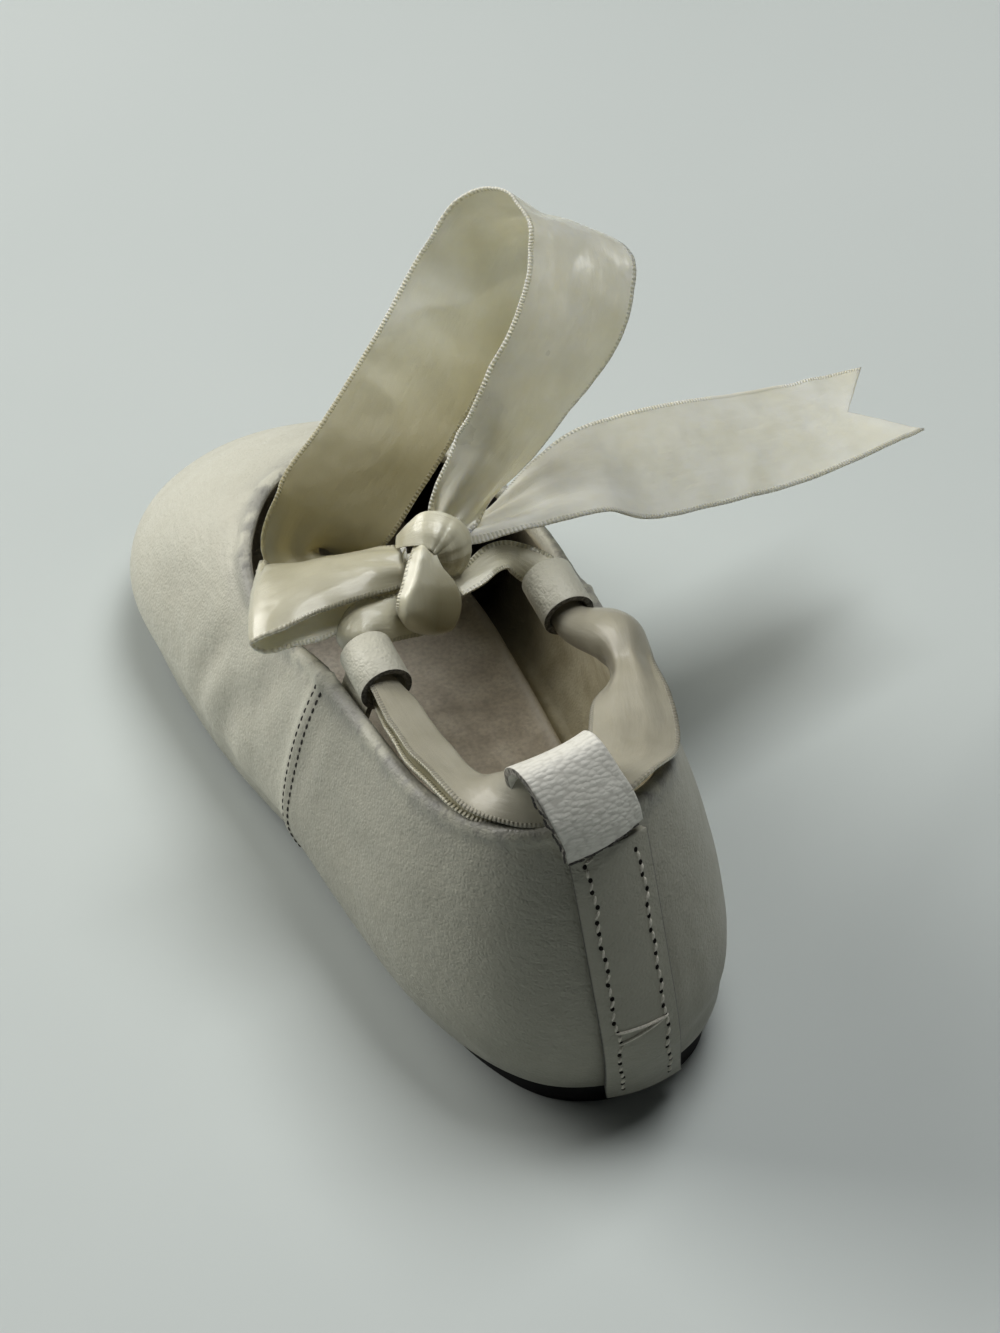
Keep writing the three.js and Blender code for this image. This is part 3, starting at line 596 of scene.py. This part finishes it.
# How far along that way the pulled-back front end is
front_end = 0.64
raw_edge, shader, place = new_finish("raw_edge", Roughness=0.9, Specular_IOR_Level=0.15)
fibre = speckle(raw_edge, place.outputs["Object"], 0.0004, 5.0)
paint(raw_edge, shader, Base_Color=ramp(raw_edge, fibre, (0.3, (0.085, 0.080, 0.068)),
                                        (0.7, (0.26, 0.25, 0.22))))
raised(raw_edge, shader, (fibre, 0.0002, 0.7))
for side, (middle, half) in (("left", left_loop), ("right", right_loop)):
    loop = piece_like("side_loop_" + side, "side_loop_" + side + "_leather")
    bpy.ops.mesh.select_all(action="SELECT")
    bpy.ops.mesh.dissolve_limited(angle_limit=math.radians(1))
    bpy.ops.mesh.select_all(action="DESELECT")
    bpy.ops.mesh.select_mode(type="EDGE")
    bpy.ops.mesh.edges_select_sharp(sharpness=math.radians(60))
    bpy.ops.mesh.bevel(offset=0.00016, segments=2, affect="EDGES")
    bpy.ops.object.mode_set(mode="OBJECT")
    for corner in loop.data.vertices:
        share = (corner.co - at(*middle)).dot(half) / half.length_squared / millimetre
        corner.co -= half * millimetre * (share + 1) * (1 - front_end) / 2
    loop.data.update()
    loop.data.materials.append(ivory_leather)
    loop.data.materials.append(raw_edge)
    for face in loop.data.polygons:
        face.material_index = 1 if abs(face.normal.y) > 0.8 else 0
    bpy.ops.object.shade_smooth_by_angle(angle=math.radians(40))
    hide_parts("side_loop_" + side)
    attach(loop, "root")


# Ribbon round the collar: cream satin, 15 mm wide, drawn through the three loops and tied over the throat.
# It has a corded selvedge along each edge. On the left it lies folded along its middle, on the right it lies
# flat on the rim; round the collar and in the knot it is drawn in darker copies of the satin, as painted
# shade.
ribbon_width = 15.0
ribbon_thickness = 0.00032


def between_rows(rows, spacing):
    """Rows of a table and more of them between, on one smooth curve through their places."""
    table = np.array([(*place, *across, *rest, 0.0)[:11] for _, place, across, *rest in rows], float)
    table = np.vstack([2 * table[0] - table[1], table, 2 * table[-1] - table[-2]])
    knots = np.concatenate([[0], np.cumsum(np.linalg.norm(np.diff(table[:, :3], axis=0), axis=1) ** 0.5)])
    made = []

    def blend(a, b, start, end, t):
        return ((end - t) * a + (t - start) * b) / (end - start)

    for k in range(1, len(table) - 2):
        span = np.linalg.norm(table[k + 1, :3] - table[k, :3])
        for t in np.linspace(knots[k], knots[k + 1], max(3, int(span / spacing)), endpoint=False):
            a = [blend(table[i], table[i + 1], knots[i], knots[i + 1], t) for i in (k - 1, k, k + 1)]
            b = [blend(a[i], a[i + 1], knots[k + i - 1], knots[k + i + 1], t) for i in (0, 1)]
            made.append(blend(b[0], b[1], knots[k], knots[k + 1], t))
    made.append(table[-2])
    return np.array(made)


def cross_section(width, curl, fold, crest, columns):
    """Places across a ribbon: its curl in degrees, how much of it is a sharp fold, and where that is."""
    sides = np.linspace(-1, 1, columns + 1)
    sharpness = 14
    turn = math.radians(abs(curl)) / 2 * ((1 - fold) * sides + fold * np.tanh(sharpness * (sides - crest)))
    step = width / columns
    middle_turn = (turn[1:] + turn[:-1]) / 2
    sideways = np.concatenate([[0], np.cumsum(np.cos(middle_turn) * step)])
    height = np.concatenate([[0], np.cumsum(-np.sin(middle_turn) * step)]) * math.copysign(1, curl)
    return sides, sideways - sideways.mean(), height - height.mean()


def satin(name, light, shade, roughness, gloss, coat, glow):
    """Cream satin: fine ribs across the ribbon, corded selvedges, soft smudges, drawn threads and painted
    olive shade.
    """
    material, shader, place = new_finish(name, Specular_IOR_Level=gloss, Sheen_Weight=0.08,
                                         Coat_Weight=coat, Coat_Roughness=0.16, Subsurface_Weight=glow,
                                         Subsurface_Radius=(1.0, 0.92, 0.7), Subsurface_Scale=0.0015)
    uv = place.outputs["UV"]
    where = place.outputs["Object"]
    edge = ramp(material, attribute(material, "hem"), (0.50, 1.0), (0.58, 0.0))
    rungs = add_node(material, "TexWave", {"Vector": uv, "Scale": 10.0}, wave_type="BANDS",
                     bands_direction="Y")
    ladder = times(material, edge, rungs)
    ribs = add_node(material, "TexWave", {"Vector": uv, "Scale": 40.0, "Distortion": 0.6}, wave_type="BANDS",
                    bands_direction="X")
    smudge = speckle(material, where, 0.007, 6.0)
    drawn = speckle(material, uv, 0.35, 4.0, (4.0, 0.8, 1.0))
    colour = ramp(material, smudge, (0.32, shade), (0.62, light))
    colour = mixed(material, ramp(material, drawn, (0.5, 0.0), (0.75, 0.25)), colour, shade)
    # Painted shade: olive where the piece's corners ask for it
    olive = (0.40 * shade[0], 0.38 * shade[1], 0.29 * shade[2])
    colour = mixed(material, times(material, attribute(material, "painted_shade"), 0.9), colour, olive)
    dark = tuple(0.55 * level for level in shade)
    darkened = times(material, ladder, ramp(material, smudge, (0.2, 0.55), (0.8, 0.28)))
    colour = mixed(material, darkened, colour, dark)
    paint(material, shader, Base_Color=colour,
          Roughness=ramp(material, smudge, (0.3, roughness + 0.10), (0.7, roughness)))
    raised(material, shader, (drawn, 0.0008, 0.15), (ribs, 0.00006, 0.25), (ladder, 0.0003, 0.6))
    return material


satin_face = satin("satin_face", (0.900, 0.865, 0.715), (0.800, 0.760, 0.605),
                   roughness=0.26, gloss=1.0, coat=0.8, glow=0.72)
satin_back = satin("satin_back", (0.885, 0.855, 0.720), (0.795, 0.760, 0.620),
                   roughness=0.45, gloss=0.6, coat=0.10, glow=0.72)
# Darker copies of the same satin, as painted shade for the knot, the flat loop and the collar
satin_half_shade = satin("satin_half_shade", (0.760, 0.730, 0.570), (0.660, 0.625, 0.465),
                   roughness=0.26, gloss=0.9, coat=0.6, glow=0.2)
satin_shaded = satin("satin_shaded", (0.590, 0.560, 0.425), (0.500, 0.470, 0.340),
                   roughness=0.30, gloss=0.9, coat=0.6, glow=0.2)
satin_deep_shade = satin("satin_deep_shade", (0.428, 0.405, 0.325), (0.365, 0.342, 0.266),
                   roughness=0.36, gloss=0.6, coat=0.3, glow=0.15)


def weave(name, rows, sides, notch=0.0, skew=0.0, spacing=0.5, columns=36, crumple=0.35, gathers=0.0,
          selvedge="both"):
    """A ribbon through rows of place, across, width, curl, fold, pleat height and the fold's place.

    Its far end is cut to a notch, with a skew. Crumple dents it, gathers ruffle its later part, and the
    selvedge shows on both edges, on the first one or on none.
    """
    run = between_rows(rows, spacing)
    dents_from = Vector((7, 0, 3))
    middles = run[:, :3]
    ahead = np.gradient(middles, axis=0)
    ahead /= np.linalg.norm(ahead, axis=1)[:, None]
    across = run[:, 3:6] - np.einsum("ij,ij->i", run[:, 3:6], ahead)[:, None] * ahead
    across /= np.linalg.norm(across, axis=1)[:, None]
    up = np.cross(across, ahead)
    travelled = np.concatenate([[0], np.cumsum(np.linalg.norm(np.diff(middles, axis=0), axis=1))])
    corners, uvs, hems = [], [], []
    for j in range(len(run)):
        width, curl, fold, pleat, crest = run[j, 6:11]
        near_end = np.clip(1 - (travelled[-1] - travelled[j]) / (2 * notch), 0, 1) if notch else 0
        for side, sideways, height in zip(*cross_section(width, curl, fold, crest, columns)):
            height += pleat * math.cos(3 * math.pi * side)
            drawn_in = np.clip(5 * travelled[j] / travelled[-1] - 1.8, 0, 1) * (1.3 - side) / 2
            height += gathers * drawn_in * math.sin(4.2 * travelled[j] + 2 * noise.noise(Vector(middles[j])))
            cut = near_end * (notch * (1 - abs(side)) + skew * side)
            spot = middles[j] + across[j] * sideways + up[j] * height - ahead[j] * cut
            ripple = noise.noise(Vector(spot) * 0.20) * 0.25 + noise.noise(Vector(spot) * 0.6) * 0.06
            dents = 0.3 - abs(noise.noise(Vector(spot) * 0.11 + dents_from))
            ripple += crumple * np.clip((spot[2] - 44) / 16, 0.3, 1) * dents
            corners.append(at(*(spot + up[j] * ripple)))
            uvs.append(((side + 1) / 2, travelled[j] / ribbon_width))
            outmost = {"both": abs(side), "first": -side, "none": -9.0}[selvedge]
            hems.append(min(1.0, (1 - outmost) * width / 2))
    faces = []
    for j in range(len(run) - 1):
        for i in range(columns):
            k = j * (columns + 1) + i
            faces.append((k, k + 1, k + columns + 2, k + columns + 1))
    data = bpy.data.meshes.new(name)
    data.from_pydata(corners, [], faces)
    layer = data.uv_layers.new(name="weave")
    for entry in data.loops:
        layer.data[entry.index].uv = uvs[entry.vertex_index]
    ribbon = bpy.data.objects.new(name, data)
    bpy.context.collection.objects.link(ribbon)
    tell(ribbon, "hem", hems)
    bpy.ops.object.select_all(action="DESELECT")
    ribbon.select_set(True)
    bpy.context.view_layer.objects.active = ribbon
    for finish in sides:
        ribbon.data.materials.append(finish)
    cloth = ribbon.modifiers.new("cloth", "SOLIDIFY")
    cloth.thickness = ribbon_thickness
    cloth.offset = 0
    cloth.material_offset = 1
    bpy.ops.object.modifier_apply(modifier=cloth.name)
    bpy.ops.object.shade_smooth()
    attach(ribbon, "root")
    return ribbon, [at(*middle) for middle in middles]


collar_rows = [
    ("left loop", in_loop(left_loop, 0.5), (0.3, 0, -0.95), 7.6, -215, 0, 0),
    ("left loop, back", in_loop(left_loop, -1.05), (0.1, 0, -0.99), 8.8, -200, 0.4, 0),
    ("left run, start", (-16.5, 36.4, 43.4), (-0.1, 0, -0.99), 10.6, -184, 0.9, 0, -0.02),
    ("left run", (-17.0, 29.6, 44.2), (-0.18, 0.05, -0.98), 11.8, -180, 0.96, 0, -0.03),
    ("left fold", (-16.7, 20.4, 46.0), (-0.15, 0.15, -0.97), 12.0, -178, 0.96, 0, -0.03),
    ("corner", (-15.6, 15.6, 47.8), (0.3, 0.3, -0.9), 12.4, -178, 0.96, 0, -0.03),
    ("flap", (-13.2, 10.8, 50.2), (0.74, 0.47, -0.37), 13.0, -176, 0.94, 0, -0.03),
    ("heel loop", (-9.2, 8.4, 51.2), (0.22, 0.82, -0.475), 12.0, -174, 0.9, 0, -0.03),
    ("heel loop, right", (-2.6, 9.8, 50.0), (-0.7, 0.5, -0.5), 10.4, -40, 0.2, 0.05),
    ("right run", (3.6, 16.4, 47.6), (-0.84, 0.5, -0.05), 11.0, -40, 0, 0.05),
    ("right run, end", (7.5, 24.6, 46.6), (-0.86, 0.43, -0.2), 10.0, -70, 0.2, 0.10),
    ("pinch", (10.2, 30.0, 45.6), (-0.8, 0.4, -0.4), 8.4, -130, 0.5, 0.30),
    ("roll", (11.4, 35.8, 45.2), (-0.95, 0.1, -0.3), 13.0, -235, 0, 0),
    ("right loop, back", in_loop(right_loop, -1.05), (-0.9, 0, -0.4), 9.0, -235, 0, 0),
    ("right loop", in_loop(right_loop, 0), (-0.9, 0, -0.4), 8.0, -230, 0, 0),
    ("right loop, front", in_loop(right_loop, front_end), (-0.8, 0, -0.6), 6.0, -150, 0, 0),
    ("right bend", (7.67, 52.84, 44.5), (-0.45, -0.5, -0.74), 4.2, -40, 0, 0),
    ("arch, right", (5.89, 53.35, 45.76), (-0.42, -0.74, -0.45), 3.6, 20, 0, 0),
    ("arch", (3.59, 52.95, 46.23), (-0.42, -0.74, -0.45), 3.6, 30, 0, 0),
    ("arch, left", (0.82, 51.93, 45.77), (-0.42, -0.74, -0.45), 3.4, 30, 0, 0),
    ("knot, right", (-2.09, 51.48, 45.3), (-0.42, -0.74, -0.45), 3.0, 20, 0, 0),
]
# Inside the right loop the run in deep painted shade meets the arch to the knot, in lighter painted shade
to_right_loop = [row[0] for row in collar_rows].index("right loop")
collar_ribbon, _ = weave("ribbon_collar_satin", collar_rows[:to_right_loop + 2], (satin_shaded, satin_deep_shade),
                         crumple=0.15)
weave("ribbon_collar_arch_satin", collar_rows[to_right_loop:], (satin_shaded, satin_half_shade), crumple=0.15)
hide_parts("ribbon_collar")


# Bow: one length of the ribbon stands up in a tall loop and runs through the knot to a free end with a
# swallowtail cut. A flattened loop lies to the left. The knot is wrapped tight between them, from a lobe in
# front, a band that comes out of the left side loop, and a cap over both.
tall_rows = [
    ("knot, back", (-4.0, 59.4, 44.2), (0.3, 0.1, -0.9), 4.6, 20, 0, 0.6),
    ("neck", (-9.4, 64.2, 41.0), (0.5, 0.1, -0.8), 6.0, 30, 0, 0.6),
    ("tuck", (-14.0, 68.2, 42.6), (0.8, -0.3, -0.4), 10.5, 30, 0, 0.3),
    ("far low", (-11.0, 67.4, 47.6), (0.78, -0.52, -0.35), 15, 18, 0, 0.0),
    ("far middle", (-4.2, 69.8, 52.6), (0.78, -0.52, -0.35), 15, 14, 0, 0.0),
    ("far high", (5.7, 74.8, 59.2), (0.78, -0.50, -0.38), 15, 8, 0, 0.0),
    ("far top", (14.6, 78.6, 68.0), (0.78, -0.42, -0.45), 15, 4, 0, 0.0),
    ("crest, far", (18.9, 78.8, 73.9), (0.79, -0.34, -0.51), 15, 2, 0, 0.0),
    ("crest", (22.6, 73.6, 77.6), (0.79, -0.34, -0.51), 15, 2, 0, 0.0),
    ("near top", (22.9, 66.9, 77.6), (0.79, -0.30, -0.53), 15, 4, 0, 0.0),
    ("near high", (19.0, 61.2, 72.4), (0.80, -0.18, -0.57), 15, -14, 0, 0.0),
    ("near middle", (12.8, 58.9, 65.3), (0.80, -0.12, -0.59), 14, -45, 0, 0.0),
    ("near low", (7.8, 58.2, 58.8), (0.82, -0.20, -0.50), 12.4, -90, 0, 0.1),
    ("knot, top", (1.7, 57.8, 51.9), (0.85, -0.40, -0.30), 8.0, -110, 0, 0.3),
]
tail_rows = [
    ("in the knot", (-0.4, 57.0, 49.2), (0.3, -0.80, 0.1), 4.4, 40, 0, 0.5),
    ("knot, right", (2.6, 56.8, 48.4), (-0.4, -0.84, 0.35), 5.4, 70, 0, 0.5),
    ("gather", (9.4, 57.4, 48.9), (-0.45, -0.86, 0.2), 9.4, 60, 0, 0.3),
    ("arch", (19.6, 59.8, 47.9), (-0.46, -0.88, 0.1), 14.2, 30, 0, 0.05),
    ("over the collar", (28.4, 61.3, 45.0), (-0.48, -0.86, -0.16), 15, 12, 0, 0.0),
    ("droop", (39.2, 63.5, 41.5), (-0.49, -0.86, -0.18), 15, 8, 0, 0.0),
    ("low", (50.2, 65.6, 38.0), (-0.46, -0.88, -0.07), 15, 6, 0, 0.0),
    ("notched end", (71.0, 71.0, 32.2), (-0.3, -0.94, 0.15), 15, 4, 0, 0.0),
]
bow_ribbon, bow_path = weave("bow_ribbon_satin", tall_rows + tail_rows, (satin_back, satin_face),
                             notch=8.5, skew=1.8, crumple=1.1)


def on_shoe(piece):
    """The piece's corners in millimetres from the back of the heel."""
    return (np.array([corner.co for corner in piece.data.vertices]) - np.array(heel_back)) / millimetre


# Painted shade on the far side of the tall loop, from its foot up; the free end, lower and to the right, has
# none
aside, along, high = on_shoe(bow_ribbon).T
shade_top = 66
painted_shade = np.clip((shade_top - high) / 15, 0, 1) * (along > 63)
painted_shade *= (high > 54) | (aside < 8)
tell(bow_ribbon, "painted_shade", painted_shade)
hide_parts("ribbon_tall_loop", "ribbon_tail")

# The knot's own axes: to the right, up and towards the one who ties it
knot_middle = Vector((-2.5, 56.0, 47.0))
knot_right = Vector((0.8685, -0.4957, 0.0))
knot_up = Vector((0.345, 0.6045, 0.718))
knot_front = Vector((-0.356, -0.624, 0.696))


def knot_rows(rows):
    """Rows of a wrap, turned from the knot's own axes into the shoe's."""
    def turn(right, up, front):
        return knot_right * right + knot_up * up + knot_front * front
    return [(name, tuple(knot_middle + turn(*place)), tuple(turn(*across)), *rest)
            for name, place, across, *rest in rows]


loop_mouth = Vector(in_loop(left_loop, front_end)) - knot_middle
mouth = tuple(loop_mouth.dot(way) for way in (knot_right, knot_up, knot_front))
flat_rows = knot_rows([
    ("knot, upper", (-3.6, -1.2, 2.8), (-0.3, -0.8, 0.5), 6.2, -80, 0, 0.15),
    ("upper layer", (-8.3, -1.8, 3.6), (-0.06, -0.62, 0.78), 10.4, -95, 0, 0.05),
    ("upper left", (-14.6, -3.4, 4.2), (-0.05, -0.6, 0.8), 12.6, -80, 0, 0),
    ("fold, top", (-20.2, -5.5, 4.4), (-0.03, -0.66, 0.75), 15, -40, 0, 0),
    ("fold", (-21.5, -6.5, 3.5), (0, -0.66, 0.75), 15, -14, 0, 0),
    ("fold, under", (-20.4, -7.4, 2.6), (0, -0.66, 0.75), 15, 4, 0, 0),
    ("lower left", (-15.6, -6.4, 1.8), (0, -0.68, 0.73), 14, 10, 0, 0),
    ("lower layer", (-10.8, -5.2, 1.2), (0, -0.72, 0.68), 11, 10, 0, 0.15),
    ("knot, lower", (-4.8, -2.4, 1.0), (-0.2, -0.8, 0.5), 5, 20, 0, 0.3),
])
lobe_rows = knot_rows([
    ("tuck", (-0.6, 1.4, 3.8), (1, 0, 0.1), 3.0, -60, 0.3, 0.05, -0.2),
    ("apex", (-1.0, 0.2, 6.2), (1, 0.05, 0.05), 3.8, -80, 0.9, 0.02, -0.05),
    ("upper lobe", (-0.9, -1.9, 7.0), (1, 0.05, 0.05), 5.6, -80, 0.92, 0, -0.2),
    ("lobe", (-0.3, -4.8, 7.2), (1, 0, 0.08), 8.6, -80, 0.9, 0, -0.52),
    ("lower lobe", (-0.2, -7.0, 6.7), (1, -0.1, 0.08), 9.0, -85, 0.8, 0, -0.58),
    ("bottom", (-0.8, -8.9, 5.0), (0.97, -0.25, 0.05), 7.8, -95, 0.3, 0, -0.5),
    ("under", (-1.6, -9.1, 2.6), (0.95, -0.3, 0.05), 6.4, -80, 0, 0),
])
band_rows = knot_rows([
    ("behind the lobe", (-0.6, -7.2, 2.8), (0.1, -0.99, 0), 5.0, -50, 0, 0.1),
    ("left band", (-4.4, -7.8, 4.8), (0.12, -0.98, 0.05), 6.0, -80, 0.1, 0, 0),
    ("bend", (-7.6, -8.4, 6.2), (0.72, -0.68, 0.1), 7.0, -130, 0, 0.05),
    ("curl", (-8.8, -10.0, 6.5), (0.93, 0.25, 0.2), 8.2, -175, 0, 0),
    ("loop, front", mouth, (0.85, 0.4, 0.2), 6.6, -185, 0, 0),
    ("in the loop", (mouth[0] + 1.0, mouth[1] - 1.6, mouth[2] + 1.4), (0.8, 0.5, 0.2), 6.0, -190, 0, 0),
])
cap_rows = knot_rows([
    ("left tip", (-4.5, 1.4, 1.6), (0.1, 1, -0.1), 1.6, -30, 0, 0),
    ("left", (-2.9, 2.2, 4.2), (0.05, 1, -0.25), 3.0, -30, 0, 0),
    ("top left", (-1.1, 2.9, 5.6), (0.1, 1, -0.3), 4.6, -35, 0.3, 0, -0.2),
    ("top", (0.9, 2.6, 5.7), (0.48, 0.88, -0.4), 5.4, -50, 0.3, 0.03, -0.2),
    ("right", (2.3, 1.5, 5.2), (0.82, 0.57, -0.45), 5.6, -60, 0, 0.05),
    ("right, low", (2.7, -0.1, 4.2), (0.95, 0.3, -0.45), 4.8, -60, 0, 0.05),
    ("tuck", (2.3, -1.6, 2.4), (1, 0.05, -0.3), 3.4, -60, 0, 0.05),
    ("under", (1.5, -2.6, 0.6), (0.95, -0.3, -0.2), 2.6, -50, 0, 0),
])
knot_sides = (satin_shaded, satin_half_shade)
flat_loop, _ = weave("bow_flat_loop_satin", flat_rows, (satin_back, satin_shaded))
knot_lobe, _ = weave("bow_knot_lobe_satin", lobe_rows, knot_sides, spacing=0.3, crumple=0.15,
                     selvedge="first")
knot_band, _ = weave("bow_knot_band_satin", band_rows, knot_sides, spacing=0.3, crumple=0.15)
knot_cap, _ = weave("bow_knot_cap_satin", cap_rows, knot_sides, spacing=0.2, crumple=0.4, gathers=0.12,
                    selvedge="none")


def in_knot(piece):
    """The piece's corners in the knot's own axes, in millimetres."""
    return (on_shoe(piece) - np.array(knot_middle)) @ np.array([knot_right, knot_up, knot_front]).T


# Painted olive shade on the turned-down sides of the knot and of the flat loop
right, high, _ = in_knot(knot_lobe).T
tell(knot_lobe, "painted_shade", np.clip((right + 2.5) / 3.5, 0, 1) * np.clip((-1 - high) / 5, 0, 1))
right, high, _ = in_knot(flat_loop).T
tell(flat_loop, "painted_shade", 0.45 * np.clip((right + 13) / 7, 0, 1) * np.clip((-1.5 - high) / 3, 0, 1))
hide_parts("ribbon_flat_loop")
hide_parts("ribbon_knot")


# Studio: a plain pale floor with a little painted shade behind the heel, a broad window light from the toe's
# left, a soft one from the ceiling, a weak lamp from behind on the right, and the camera.
bpy.ops.object.select_all(action="DESELECT")
bpy.ops.mesh.primitive_plane_add(size=4.0)
floor = bpy.context.object
floor.name = "floor"
pale_floor, shader, place = new_finish("pale_floor", Roughness=0.6, Specular_IOR_Level=0.3)
cloud = speckle(pale_floor, place.outputs["Object"], 0.12, 3.0)
colour = ramp(pale_floor, cloud, (0.3, (0.585, 0.620, 0.598)), (0.7, (0.610, 0.642, 0.620)))
# Painted shade: the floor darkens behind the heel
across_floor = add_node(pale_floor, "VectorMath", {0: place.outputs["Object"], 1: (0.5, 0.87, 0.0)},
                        operation="DOT_PRODUCT")
from_heel = add_node(pale_floor, "Math", {0: across_floor, 1: 0.5}, operation="ADD")
floor_shade = ramp(pale_floor, from_heel, (0.36, 1.0), (0.48, 0.0))
paint(pale_floor, shader, Base_Color=mixed(pale_floor, floor_shade, colour, (0.400, 0.425, 0.415)))
floor.data.materials.append(pale_floor)

world = bpy.data.worlds.new("soft_room")
bpy.context.scene.world = world
world.use_nodes = True
world.node_tree.nodes["Background"].inputs["Color"].default_value = (0.86, 0.93, 1.0, 1)
world.node_tree.nodes["Background"].inputs["Strength"].default_value = 0.032


def soft_light(name, place, aim, size, power, colour):
    """A square light at a place, turned to what it lights."""
    lamp = bpy.data.lights.new(name, "AREA")
    lamp.size = size
    lamp.energy = power
    lamp.color = colour
    stand = bpy.data.objects.new(name, lamp)
    stand.location = place
    stand.rotation_euler = (Vector(aim) - Vector(place)).to_track_quat("-Z", "Y").to_euler()
    bpy.context.collection.objects.link(stand)


soft_light("window", (-0.48, 0.60, 0.48), (-0.03, 0.03, 0.0), 0.6, 6.8, (1.0, 0.99, 0.97))
soft_light("ceiling", (0.22, 0.04, 1.0), (0, 0, 0.05), 0.5, 6.4, (0.98, 0.99, 1.0))
soft_light("lamp", (0.50, -0.42, 0.40), (0.01, 0.0, 0.06), 0.16, 0.12, (1.0, 0.98, 0.95))

lens = bpy.data.cameras.new("camera")
camera = bpy.data.objects.new("camera", lens)
bpy.context.collection.objects.link(camera)
photo_lens = 108.0
closer = 1.7
lens.sensor_fit = "HORIZONTAL"
lens.sensor_width = 36.0
lens.lens = photo_lens * closer
lens.clip_start = 0.01
camera.location = at(-202.6, -355.0, 459.8)
view_ahead = Vector((0.3559, 0.6237, -0.6960))
view_right = Vector((0.8685, -0.4957, 0.0))
view_up = Vector((0.345, 0.6045, 0.718))
right_of_middle = -0.035
above_middle = 0.0128
aim = view_ahead + right_of_middle * view_right + above_middle * view_up
camera.rotation_euler = aim.to_track_quat("-Z", "Y").to_euler()
bpy.context.scene.camera = camera
bpy.context.scene.view_settings.view_transform = "Standard"
bpy.context.scene.view_settings.gamma = 0.82
